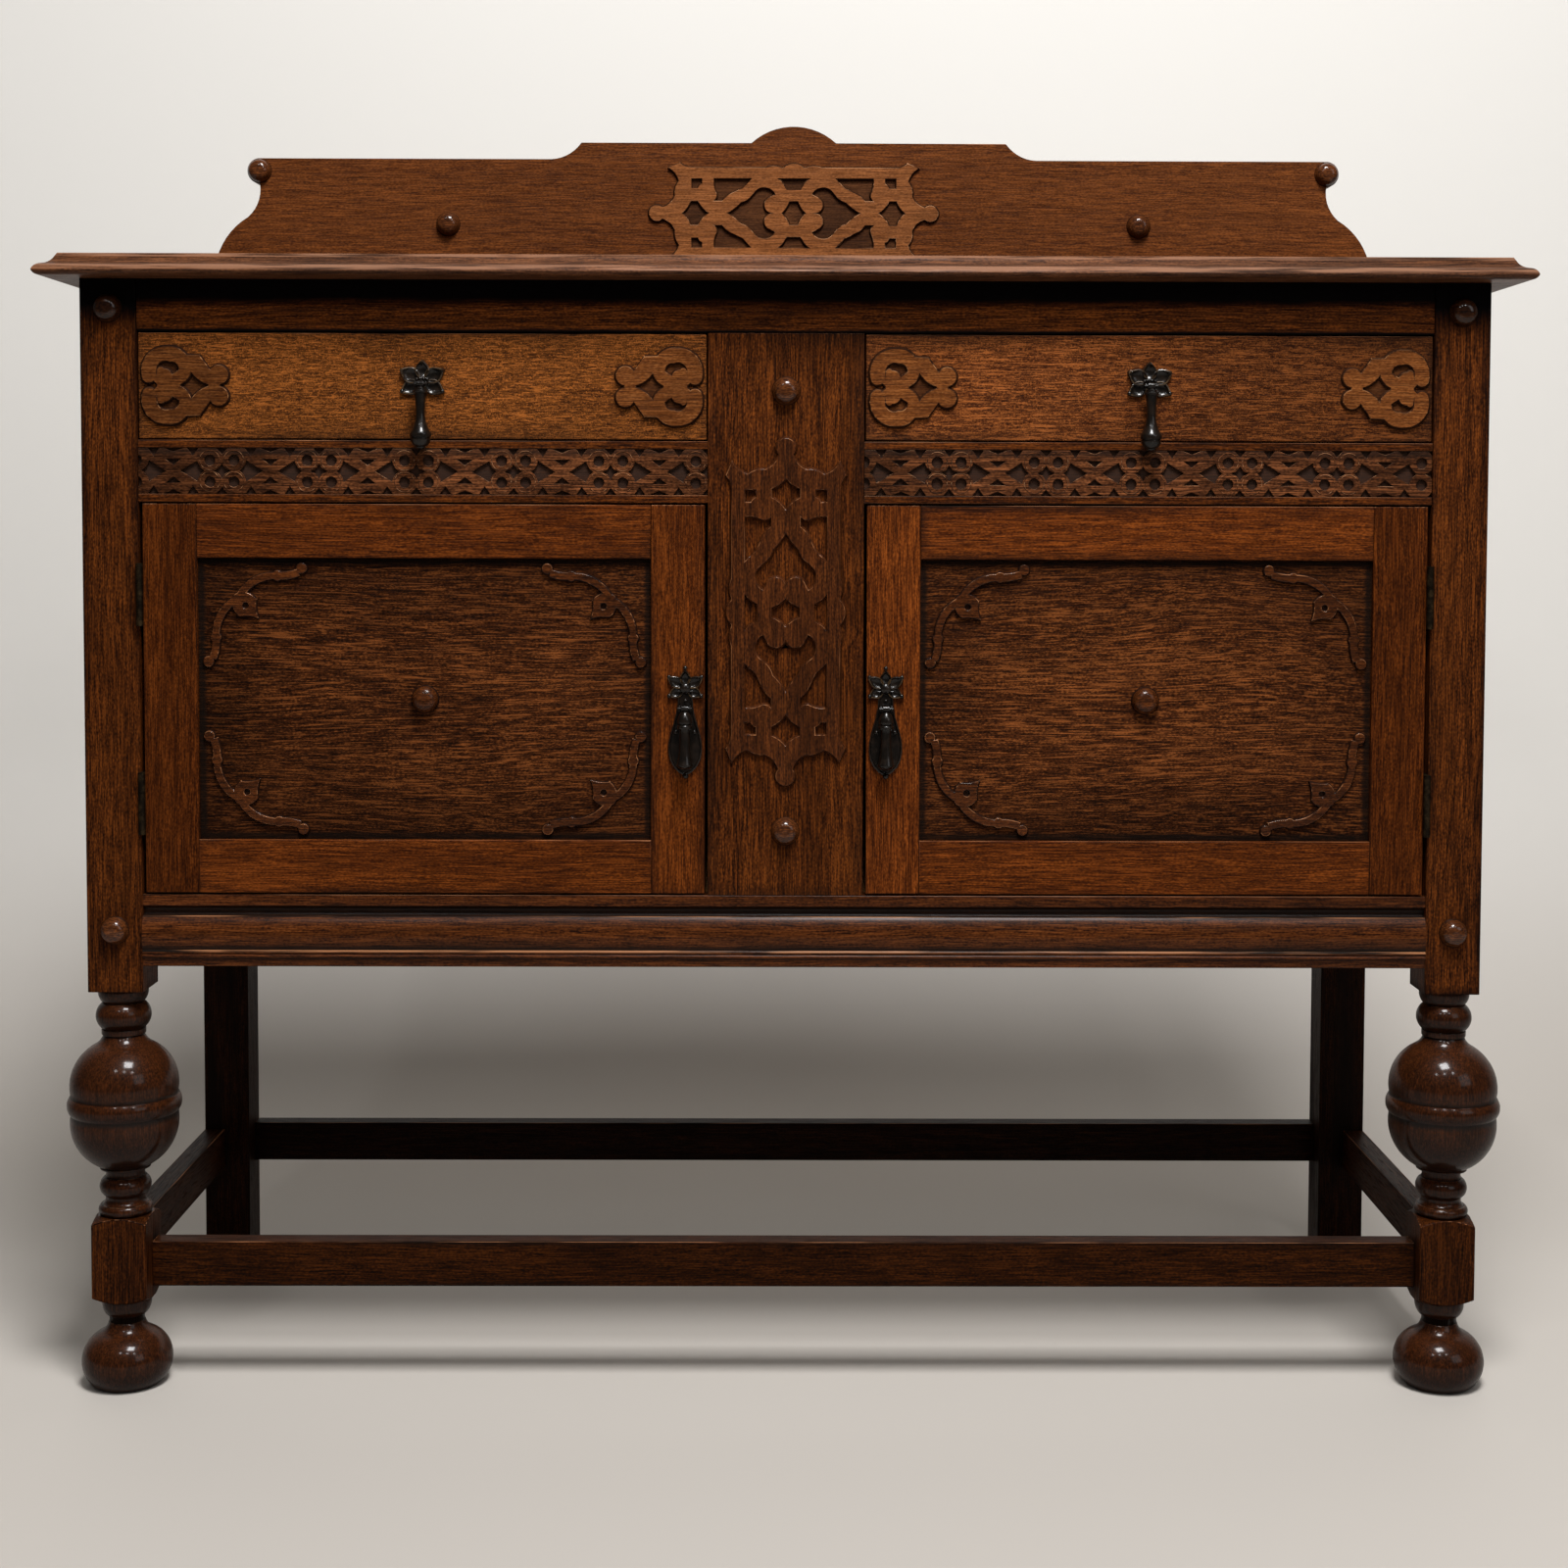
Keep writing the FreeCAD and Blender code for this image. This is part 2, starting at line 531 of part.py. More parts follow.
def catch(side):
    """Spring-ball catch let into an edge of the pilaster, beside a door's lock stile."""
    middle = (DOOR_LOW + DOOR_HIGH) / 2
    y = FRONT + DOOR_THICKNESS / 2
    start = Vector(side * (PILASTER_HALF - CATCH_LENGTH), y, middle)
    barrel = Part.makeCylinder(CATCH_RADIUS, CATCH_LENGTH, start, Vector(side, 0, 0))
    reach = PILASTER_HALF + CATCH_BALL_SHOW - CATCH_BALL_RADIUS
    ball = Part.makeSphere(CATCH_BALL_RADIUS, Vector(side * reach, y, middle))
    return barrel.fuse(ball).removeSplitter()


def centre_pilaster():
    """Upright board between the doors and the drawers, bored for the catches."""
    board = block(-PILASTER_HALF, PILASTER_HALF, FRONT, RAIL_BACK, DOOR_BOTTOM, DRAWER_TOP)
    return board.cut([catch(-1), catch(1)])


def carcass_studs():
    """Two studs on each front post and two on the pilaster."""
    x = HALF_WIDTH - POST_SIZE / 2
    places = [(side * x, FACE, z) for side in (-1, 1)
              for z in (UNDER_TOP - POST_STUD_FROM_TOP, POST_BOTTOM + POST_STUD_FROM_BOTTOM)]
    places += [(0.0, FRONT, DRAWER_TOP - PILASTER_STUD_FROM_TOP),
               (0.0, FRONT, DOOR_BOTTOM + PILASTER_STUD_FROM_BOTTOM)]
    return group([stud(STUD_RADIUS, *place) for place in places])


def drawer_runners():
    """Four runners with side guides, two under each drawer."""
    under, ledge, guide = DRAWER_BOTTOM - RUNNER_HEIGHT, DRAWER_BOTTOM, DRAWER_BOTTOM + GUIDE_HEIGHT
    wall = DIVISION_THICKNESS / 2
    outer = block(DRAWER_OUTER - RUNNER_LEDGE, SIDE_PANEL_INNER, RAIL_BACK, REAR_FACE, under, ledge)
    outer = outer.fuse(block(POST_INNER, SIDE_PANEL_INNER, RAIL_BACK, REAR_FACE, ledge, guide))
    inner = block(wall, DRAWER_INNER + RUNNER_LEDGE, RAIL_BACK, REAR_FACE, under, ledge)
    inner = inner.fuse(block(wall, PILASTER_HALF, RAIL_BACK, REAR_FACE, ledge, guide))
    pair = [outer.cut(corner_posts()).removeSplitter(), inner.removeSplitter()]
    return group(pair + [mirrored(runner) for runner in pair])


# Drawers

def drawer_walls():
    """Bounds of the drawer's box behind its front: outer, inner, front, back, low and high."""
    low = DRAWER_BOTTOM + RUNNING_CLEARANCE
    return (DRAWER_OUTER, DRAWER_INNER, FRONT + DRAWER_FRONT_THICKNESS, REAR_FACE - DRAWER_BACK_CLEARANCE,
            low, DRAWER_TOP - DRAWER_HEADROOM)


def drawer_bottom():
    """Bottom of the right drawer, in grooves in its front and sides."""
    outer, inner, front, back, low, high = drawer_walls()
    bite = DRAWER_SIDE_THICKNESS / 2
    level = low + DRAWER_BOTTOM_LIFT
    return block(inner + bite, outer - bite, front - bite, back, level, level + DRAWER_BOTTOM_THICKNESS)


def drawer_front():
    """Front of the right drawer, grooved for the bottom."""
    board = block(DRAWER_INNER, DRAWER_OUTER, FRONT, FRONT + DRAWER_FRONT_THICKNESS,
                  DRAWER_BOTTOM + DRAWER_GAP, DRAWER_TOP - DRAWER_GAP)
    return board.cut(drawer_bottom())


def drawer_sides():
    """Both sides of the right drawer, grooved for the bottom."""
    outer, inner, front, back, low, high = drawer_walls()
    sides = [block(outer - DRAWER_SIDE_THICKNESS, outer, front, back, low, high),
             block(inner, inner + DRAWER_SIDE_THICKNESS, front, back, low, high)]
    return group([side.cut(drawer_bottom()) for side in sides])


def drawer_back():
    """Back of the right drawer, standing on its bottom."""
    outer, inner, front, back, low, high = drawer_walls()
    wall = DRAWER_SIDE_THICKNESS
    level = low + DRAWER_BOTTOM_LIFT + DRAWER_BOTTOM_THICKNESS
    return block(inner + wall, outer - wall, back - wall, back, level, high - DRAWER_HEADROOM / 2)


def end_fret():
    """Applied fret for a drawer's end: two mirrored scrolls, measured inwards from x = 0."""
    outer = with_mirror(END_FRET_HALF, 1, -1)
    diamond = END_FRET_DIAMOND + flipped(END_FRET_DIAMOND, 1, -1)
    holes = [END_FRET_CRESCENT, flipped(END_FRET_CRESCENT, 1, -1), diamond]
    return plate(outer, 0, END_FRET_THICKNESS, holes)


def drawer_end_frets():
    """Frets at both ends of the right drawer's front."""
    middle = (DRAWER_BOTTOM + DRAWER_TOP) / 2
    inner = moved(end_fret(), DRAWER_INNER + END_FRET_MARGIN, FRONT - END_FRET_THICKNESS, middle)
    outer = moved(mirrored(end_fret()), DRAWER_OUTER - END_FRET_MARGIN, FRONT - END_FRET_THICKNESS, middle)
    return group([inner, outer])


# Doors

def door_panel():
    """Sunk panel of the right door, its edges in the grooves of the frame."""
    y = FRONT + DOOR_PANEL_RECESS
    edge = DOOR_FRAME_WIDTH - GROOVE
    return block(DOOR_INNER + edge, DOOR_OUTER - edge, y, y + DOOR_PANEL_THICKNESS,
                 DOOR_LOW + edge, DOOR_HIGH - edge)


def door_rails():
    """Upper and lower rails of the right door, with tenons and the panel's groove."""
    y = FRONT + DOOR_PANEL_RECESS
    rails = []
    for low, high in ((DOOR_LOW, DOOR_LOW + DOOR_FRAME_WIDTH), (DOOR_HIGH - DOOR_FRAME_WIDTH, DOOR_HIGH)):
        x0, x1 = DOOR_INNER + DOOR_FRAME_WIDTH, DOOR_OUTER - DOOR_FRAME_WIDTH
        rail = block(x0, x1, FRONT, FRONT + DOOR_THICKNESS, low, high)
        tenon = block(x0 - TENON_LENGTH, x1 + TENON_LENGTH, y, y + TENON_THICKNESS, low + 2 * TENON_SHOULDER,
                      high - 2 * TENON_SHOULDER)
        rails.append(rail.fuse(tenon).removeSplitter().cut(door_panel()))
    return rails


def door_stile(x):
    """Stile of the right door from x outwards, mortised for the rails and grooved for the panel."""
    stile = block(x, x + DOOR_FRAME_WIDTH, FRONT, FRONT + DOOR_THICKNESS, DOOR_LOW, DOOR_HIGH)
    return stile.cut(door_rails() + [door_panel()])


def corner_scroll():
    """Applied scroll for the lower left corner of a panel: two branches with volutes, and a pierced leaf."""
    half = SCROLL_WIDTH / 2
    pieces = []
    for mirror_diagonal in (False, True):
        def place(a, b):
            return Vector(b, 0, a) if mirror_diagonal else Vector(a, 0, b)
        for before, after in zip(SCROLL_BRANCH, SCROLL_BRANCH[1:]):
            pieces.append(strap(before, after, half, place))
        for centre, radius in ((SCROLL_VOLUTE, SCROLL_VOLUTE_RADIUS), (SCROLL_BRANCH[1], SCROLL_KNOT_RADIUS)):
            pieces.append(Part.makeCylinder(radius, SCROLL_THICKNESS, place(*centre[:2]), Vector(0, 1, 0)))
    pieces.append(Part.makeCylinder(SCROLL_KNOT_RADIUS, SCROLL_THICKNESS,
                                    Vector(SCROLL_BRANCH[-1][0], 0, SCROLL_BRANCH[-1][1]), Vector(0, 1, 0)))
    pieces.append(plate(SCROLL_LEAF, 0, SCROLL_THICKNESS))
    eye = Part.makeCylinder(SCROLL_EYE_RADIUS, SCROLL_THICKNESS, Vector(SCROLL_EYE[0], 0, SCROLL_EYE[1]),
                            Vector(0, 1, 0))
    return pieces[0].fuse(pieces[1:]).cut(eye).removeSplitter()


def strap(before, after, half, place):
    """Piece of flat strap of the given half width along one arc of a branch."""
    run, rise = after[0] - before[0], after[1] - before[1]
    length = math.hypot(run, rise)
    side = (half * rise / length, -half * run / length)
    near = [(p[0] + side[0], p[1] + side[1]) for p in (before, after)]
    far = [(p[0] - side[0], p[1] - side[1]) for p in (before, after)]
    bow = swell(after)
    wire = closed_wire([near[0], (*near[1], bow), far[1], (*far[0], -bow)], place)
    return Part.Face(wire).extrude(Vector(0, SCROLL_THICKNESS, 0))


def door_ornament():
    """Four corner scrolls and the middle stud on the right door's panel."""
    y = FRONT + DOOR_PANEL_RECESS
    x0, x1 = DOOR_INNER + DOOR_FRAME_WIDTH, DOOR_OUTER - DOOR_FRAME_WIDTH
    z0, z1 = DOOR_LOW + DOOR_FRAME_WIDTH, DOOR_HIGH - DOOR_FRAME_WIDTH
    low = corner_scroll()
    high = low.mirror(Vector(0, 0, 0), Vector(0, 0, 1))
    back = y - SCROLL_THICKNESS
    scrolls = [moved(low, x0, back, z0), moved(high, x0, back, z1), moved(mirrored(low), x1, back, z0),
               moved(mirrored(high), x1, back, z1)]
    return group(scrolls + [stud(STUD_RADIUS, (x0 + x1) / 2, y, (z0 + z1) / 2)])


def hinge_levels():
    """Middles of a door's two hinges."""
    return DOOR_LOW + HINGE_FROM_END, DOOR_HIGH - HINGE_FROM_END


def hinge_half(z, door):
    """Leaf of a right-hand butt hinge: the door's has the middle knuckle, the frame's the outer two."""
    third = HINGE_HEIGHT / 3
    low = z - HINGE_HEIGHT / 2
    levels = [low + third] if door else [low, low + 2 * third]
    bore = HINGE_PIN_RADIUS + (PIN_CLEARANCE if door else 0.0)
    wall = -HINGE_GAP / 2 if door else HINGE_GAP / 2 - HINGE_LEAF_THICKNESS
    x0 = HINGE_AXIS_X + wall
    x1 = x0 + HINGE_LEAF_THICKNESS
    clear = HINGE_AXIS_Y + KNUCKLE_RADIUS + HINGE_CLEARANCE
    leaf = block(x0, x1, clear, clear + HINGE_LEAF_WIDTH, low, low + HINGE_HEIGHT)
    axis = Vector(HINGE_AXIS_X, HINGE_AXIS_Y, 0)
    for level in levels:
        start, height = level + HINGE_CLEARANCE / 2, third - HINGE_CLEARANCE
        base = axis + Vector(0, 0, start)
        knuckle = Part.makeCylinder(KNUCKLE_RADIUS, height, base)
        knuckle = knuckle.fuse(block(x0, x1, HINGE_AXIS_Y, clear, start, start + height))
        leaf = leaf.fuse(knuckle.cut(Part.makeCylinder(bore, height, base)))
    return leaf.removeSplitter()


def hinge_pin(z):
    """Pin of one hinge."""
    base = Vector(HINGE_AXIS_X, HINGE_AXIS_Y, z - HINGE_HEIGHT / 2)
    return Part.makeCylinder(HINGE_PIN_RADIUS, HINGE_HEIGHT, base)


def frame_hinges():
    """The carcass side of all four hinges: leaves and pins."""
    right = [piece for z in hinge_levels() for piece in (hinge_half(z, False), hinge_pin(z))]
    return group(right + [mirrored(piece) for piece in right])


# Handles

def petal(length, width, angle):
    """Pointed petal of a handle plate, turned clockwise from upright."""
    base, bow = width * 0.22, width * 0.31
    leaf = plate([(-base, 0.0, bow), (base, 0.0), (0.0, length, bow)], -PLATE_THICKNESS, PLATE_THICKNESS)
    leaf.rotate(Vector(0, 0, 0), Vector(0, 1, 0), angle)
    return leaf


def drop_ears(z):
    """Two ears and the pin that a drop swings on, in front of a handle plate."""
    inner = EYE_WIDTH / 2 + EYE_CLEARANCE
    y = -PLATE_THICKNESS - DROP_STAND
    pieces = [Part.makeCylinder(HANDLE_PIN_RADIUS, 2 * inner, Vector(-inner, y, z), Vector(1, 0, 0))]
    for x in (-inner - EAR_THICKNESS, inner):
        arm = block(x, x + EAR_THICKNESS, y, -PLATE_THICKNESS, z - EAR_RADIUS, z + EAR_RADIUS)
        pieces += [arm, Part.makeCylinder(EAR_RADIUS, EAR_THICKNESS, Vector(x, y, z), Vector(1, 0, 0))]
    return pieces


def drawer_handle_plate():
    """Five-petalled plate with its ears, its middle at the origin and its back at y = 0."""
    petals = [petal(19.5, 13.5, 0), petal(20.5, 13.0, 64), petal(20.5, 13.0, -64), petal(20.5, 12.0, 120),
              petal(20.5, 12.0, -120)]
    boss = Part.makeCylinder(7.0, PLATE_THICKNESS, Vector(0, -PLATE_THICKNESS, 0), Vector(0, 1, 0))
    return boss.fuse(petals + drop_ears(0.0)).removeSplitter()


def door_handle_plate():
    """Long plate with a petalled head, a waist, a vase-shaped body and a nib, its head at the origin."""
    petals = [petal(16.5, 9.5, 0), petal(16.5, 9.0, 60), petal(16.5, 9.0, -60), petal(15.5, 9.0, 119),
              petal(15.5, 9.0, -119)]
    body = plate(with_mirror([(2.4, -70.5), (14.2, -52.0, 3.4), (7.3, -17.0, 0.9), (6.6, 0.0)], -1, 1),
                 -PLATE_THICKNESS, PLATE_THICKNESS)
    nib = Part.makeCylinder(3.4, PLATE_THICKNESS, Vector(0, -PLATE_THICKNESS, -72.5), Vector(0, 1, 0))
    return body.fuse(petals + [nib] + drop_ears(DOOR_DROP_LEVEL)).removeSplitter()


def handle_drop(members):
    """Turned drop hanging from an eye on the X axis at the origin."""
    length = sum(member[0] for member in members)
    eye = Part.makeCylinder(EAR_RADIUS, EYE_WIDTH, Vector(-EYE_WIDTH / 2, 0, 0), Vector(1, 0, 0))
    neck = Part.makeCylinder(EYE_WIDTH * 0.4, DROP_NECK, Vector(0, 0, -DROP_NECK))
    drop = turned(members, -DROP_NECK - length).fuse([neck, eye])
    bore = Part.makeCylinder(HANDLE_PIN_RADIUS + PIN_CLEARANCE, EYE_WIDTH, Vector(-EYE_WIDTH / 2, 0, 0),
                             Vector(1, 0, 0))
    return drop.cut(bore).removeSplitter()


def carcass_nodes():
    """Every fixed piece, by node name."""
    front_bar = long_stretcher(FACE + FRONT_STRETCHER_SETBACK)
    rear_bar = long_stretcher(BACK - STRETCHER_THICKNESS)
    side_bar = side_stretcher()
    front = front_leg().cut([front_bar, side_bar, side_panel()])
    rear = rear_leg().cut([rear_bar, side_bar, side_panel()])
    fret_z = DRAWER_TOP - PILASTER_FRET_FROM_TOP
    return {
        "front_left_leg": mirrored(front), "front_right_leg": front,
        "rear_left_leg": mirrored(rear), "rear_right_leg": rear,
        "front_stretcher": front_bar, "rear_stretcher": rear_bar,
        "left_stretcher": mirrored(side_bar), "right_stretcher": side_bar,
        "top_board": top_board(), "gallery_board": gallery_board(),
        "gallery_fret": strapwork_fret(False, GALLERY_SHIFT, GALLERY_FACE, TOP_SURFACE + GALLERY_FRET_HEIGHT),
        "gallery_studs": gallery_studs(),
        "left_side_panel": mirrored(side_panel()), "right_side_panel": side_panel(),
        "left_side_rails": mirrored(side_rails()), "right_side_rails": side_rails(),
        "back_panel": back_panel(), "back_rails": group(back_rails()),
        "bottom_board": bottom_board(), "centre_division": centre_division(),
        "top_front_rail": block(-POST_INNER, POST_INNER, FRONT, RAIL_BACK, DRAWER_TOP, UNDER_TOP),
        "left_frieze_rail": mirrored(frieze_rail()), "right_frieze_rail": frieze_rail(),
        "bottom_front_rail": bottom_front_rail(), "centre_pilaster": centre_pilaster(),
        "pilaster_fret": strapwork_fret(True, 0.0, FRONT, fret_z),
        "carcass_studs": carcass_studs(), "drawer_runners": drawer_runners(),
        "hinge_frame_leaves": frame_hinges(), "door_catches": group([catch(-1), catch(1)]),
    }


def drawer_nodes():
    """Pieces of the right drawer, by the last words of their node names."""
    return {
        "drawer_front": drawer_front(), "drawer_sides": drawer_sides(), "drawer_back": drawer_back(),
        "drawer_bottom": drawer_bottom(), "drawer_end_frets": drawer_end_frets(),
        "drawer_handle_plate": moved(drawer_handle_plate(), DRAWER_MIDDLE, FRONT, DRAWER_HANDLE_Z),
        "drawer_handle_drop": moved(handle_drop(DRAWER_DROP_MEMBERS), DRAWER_MIDDLE, DROP_PIVOT_Y,
                                    DRAWER_HANDLE_Z),
    }


def door_nodes():
    """Pieces of the right door, by the last words of their node names."""
    return {
        "door_hinge_stile": door_stile(DOOR_OUTER - DOOR_FRAME_WIDTH),
        "door_lock_stile": door_stile(DOOR_INNER),
        "door_rails": group(door_rails()), "door_panel": door_panel(), "door_ornament": door_ornament(),
        "door_hinge_leaves": group([hinge_half(z, True) for z in hinge_levels()]),
        "door_handle_plate": moved(door_handle_plate(), DOOR_HANDLE_X, FRONT, DOOR_HEAD_Z),
        "door_handle_drop": moved(handle_drop(DOOR_DROP_MEMBERS), DOOR_HANDLE_X, DROP_PIVOT_Y, DOOR_PIVOT_Z),
    }


def main():
    """Builds every node and writes one file for each."""
    nodes = carcass_nodes()
    for name, shape in {**drawer_nodes(), **door_nodes()}.items():
        nodes["right_" + name] = shape
        nodes["left_" + name] = mirrored(shape)
    os.makedirs("parts", exist_ok=True)
    for name, shape in nodes.items():
        shape.exportStep("parts/" + name + ".step")


main()
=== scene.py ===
"""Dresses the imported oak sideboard: softened boards, carving, handles, finishes, studio and camera."""

import json
import logging
import math
import random
from collections.abc import Callable, Iterable
from dataclasses import dataclass, replace
from enum import Enum

import bmesh
import bpy
from bmesh.types import BMesh, BMFace, BMVert
from bpy.types import Material, Node, NodeSocket, NodeTree, Object
from mathutils import Matrix, Vector

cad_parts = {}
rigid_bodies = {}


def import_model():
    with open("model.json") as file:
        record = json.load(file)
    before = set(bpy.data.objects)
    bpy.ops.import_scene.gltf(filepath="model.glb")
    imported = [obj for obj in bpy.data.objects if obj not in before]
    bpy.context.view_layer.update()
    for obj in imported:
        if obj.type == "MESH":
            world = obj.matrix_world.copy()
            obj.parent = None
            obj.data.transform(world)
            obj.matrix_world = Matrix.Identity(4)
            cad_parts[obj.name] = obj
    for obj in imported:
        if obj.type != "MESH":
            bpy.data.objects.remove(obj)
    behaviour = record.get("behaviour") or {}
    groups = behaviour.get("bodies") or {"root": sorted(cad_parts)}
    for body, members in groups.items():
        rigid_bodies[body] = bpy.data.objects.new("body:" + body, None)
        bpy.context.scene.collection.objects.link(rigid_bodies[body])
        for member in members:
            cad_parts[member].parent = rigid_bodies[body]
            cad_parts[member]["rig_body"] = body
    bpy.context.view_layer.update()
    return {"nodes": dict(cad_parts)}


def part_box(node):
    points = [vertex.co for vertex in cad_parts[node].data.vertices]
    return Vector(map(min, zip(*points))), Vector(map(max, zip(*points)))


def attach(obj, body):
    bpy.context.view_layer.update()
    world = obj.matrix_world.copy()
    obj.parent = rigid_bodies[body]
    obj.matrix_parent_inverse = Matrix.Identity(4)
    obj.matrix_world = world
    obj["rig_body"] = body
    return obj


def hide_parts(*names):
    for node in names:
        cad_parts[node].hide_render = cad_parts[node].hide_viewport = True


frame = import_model()

log = logging.getLogger("sideboard")
MM = 0.001
EDGE = "edge"
DIRT_AND_SHADE = "grime"
TONE = "tone"
Colour = tuple[float, float, float, float]
NUMBER_SOCKET = "NodeSocketFloat"
COLOUR_SOCKET = "NodeSocketColor"
VECTOR_SOCKET = "NodeSocketVector"
Point = tuple[float, float]
Points = tuple[Point, ...]


def paint(red: int, green: int, blue: int) -> Colour:
    """Turns a colour as a screen shows it into the linear values that shaders take.

    Args:
        red: red from 0 to 255.
        green: green from 0 to 255.
        blue: blue from 0 to 255.

    Returns:
        The linear colour with full alpha.
    """
    def channel(value: int) -> float:
        """Linear value of one channel."""
        share = value / 255.0
        return share / 12.92 if share <= 0.04045 else ((share + 0.055) / 1.055) ** 2.4

    return channel(red), channel(green), channel(blue), 1.0


def metres(profile: Points) -> list[Point]:
    """A profile in millimetres turned into metres."""
    return [(across * MM, along * MM) for across, along in profile]


def heights(*levels: Point) -> Points:
    """Places in millimetres, each with a value, turned into places in metres."""
    return tuple((place * MM, value) for place, value in levels)


def mirrored(*rows: tuple[float, ...]) -> tuple[tuple[float, ...], ...]:
    """Rows of numbers, each followed by the same row with its first number's sign turned round."""
    return tuple((sign * row[0], *row[1:]) for row in rows for sign in (1, -1))


def between(levels: Points, place: float) -> float:
    """Reads a value off a line of points.

    Args:
        levels: places and the value at each, in rising order.
        place: where to read.

    Returns:
        The value there, level beyond both ends.
    """
    if place <= levels[0][0]:
        return levels[0][1]
    for (low, first), (high, second) in zip(levels, levels[1:]):
        if place <= high:
            return first + (second - first) * (place - low) / (high - low)
    return levels[-1][1]


class Side(Enum):
    """The two ends of the sideboard, by the sign of X."""

    LEFT = -1
    RIGHT = 1

    @property
    def word(self) -> str:
        """The side as node names have it."""
        return self.name.lower()


class Grain(Enum):
    """The way a board's fibres run, with the turn that lays them along the pattern's X axis."""

    ACROSS = (0.0, 0.0, 0.0)
    DEEP = (0.0, 0.0, -math.pi / 2)
    UPRIGHT = (0.0, math.pi / 2, 0.0)


class NodeSheet:
    """Adds nodes to one shader tree in few words."""

    def __init__(self, tree: NodeTree) -> None:
        """Starts on a tree that exists."""
        self.tree = tree

    def add(self, kind: str, **settings: object) -> Node:
        """Adds one node.

        Args:
            kind: the node's type name.
            settings: properties to set on it.

        Returns:
            The new node.
        """
        node = self.tree.nodes.new(kind)
        for name, value in settings.items():
            setattr(node, name, value)
        return node

    def feed(self, socket: NodeSocket, value: object) -> None:
        """Links another socket into this one, or sets a plain value."""
        if isinstance(value, NodeSocket):
            self.tree.links.new(value, socket)
        else:
            socket.default_value = value

    def wire(self, node: Node, values: dict[str, object]) -> None:
        """Feeds a node's inputs by name."""
        for title, value in values.items():
            self.feed(node.inputs[title], value)

    def maths(self, operation: str, *values: object) -> NodeSocket:
        """Works out one number.

        Args:
            operation: the Math node's operation.
            values: up to three sockets or numbers.

        Returns:
            The result's socket.
        """
        node = self.add("ShaderNodeMath", operation=operation)
        for socket, value in zip(node.inputs, values):
            self.feed(socket, value)
        return node.outputs[0]

    def vector(self, operation: str, first: object, second: object) -> NodeSocket:
        """Works out one vector from two sockets or plain vectors."""
        node = self.add("ShaderNodeVectorMath", operation=operation)
        self.feed(node.inputs[0], first)
        self.feed(node.inputs["Scale" if operation == "SCALE" else 1], second)
        return node.outputs[0]

    def step(self, value: object, low: float, high: float) -> NodeSocket:
        """Runs a value smoothly from 0 at low to 1 at high."""
        node = self.add("ShaderNodeMapRange", interpolation_type="SMOOTHSTEP")
        self.wire(node, {"Value": value, "From Min": low, "From Max": high})
        return node.outputs[0]

    def mixed(self, share: object, first: object, second: object, blend: str = "MIX") -> NodeSocket:
        """Mixes two colours.

        Args:
            share: how much of the second, from 0 to 1.
            first: the colour below.
            second: the colour above.
            blend: the Mix node's blend type.

        Returns:
            The mixed colour's socket.
        """
        node = self.add("ShaderNodeMix", data_type="RGBA", blend_type=blend)
        self.feed(node.inputs[0], share)
        self.feed(node.inputs[6], first)
        self.feed(node.inputs[7], second)
        return node.outputs[2]

    def group(self, tree: NodeTree, values: dict[str, object]) -> Node:
        """Adds a node group and feeds its inputs by name."""
        node = self.add("ShaderNodeGroup", node_tree=tree)
        self.wire(node, values)
        return node

    def lit(self, colour: object, value: object) -> NodeSocket:
        """Makes a colour lighter or darker by a factor."""
        node = self.add("ShaderNodeHueSaturation")
        self.wire(node, {"Value": value, "Color": colour})
        return node.outputs[0]

    def bump(self, height: object, strength: float, distance: float) -> NodeSocket:
        """Turns a height into a normal, with a strength from 0 to 1 and a distance in metres."""
        node = self.add("ShaderNodeBump")
        self.wire(node, {"Strength": strength, "Distance": distance, "Height": height})
        return node.outputs[0]

    def noise(self, place: object, along: float, across: float, detail: float,
              roughness: float = 0.5) -> NodeSocket:
        """Adds a noise drawn out along the fibres.

        Args:
            place: the coordinates' socket, in metres.
            along: patches per metre along X, where the fibres run.
            across: patches per metre along Y and Z.
            detail: octaves of finer noise.
            roughness: how strong the finer noise is.

        Returns:
            The noise's socket, from 0 to 1.
        """
        node = self.add("ShaderNodeTexNoise")
        stretched = self.vector("MULTIPLY", place, (along, across, across))
        self.wire(node, {"Vector": stretched, "Scale": 1.0, "Detail": detail, "Roughness": roughness})
        return node.outputs["Fac"]


def new_material(name: str) -> tuple[Material, NodeSheet, Node]:
    """Makes a material with a plain shader.

    Args:
        name: the material's name.

    Returns:
        The material, a sheet on its tree and its shader node.
    """
    made = bpy.data.materials.new(name)
    made.use_nodes = True
    return made, NodeSheet(made.node_tree), made.node_tree.nodes["Principled BSDF"]


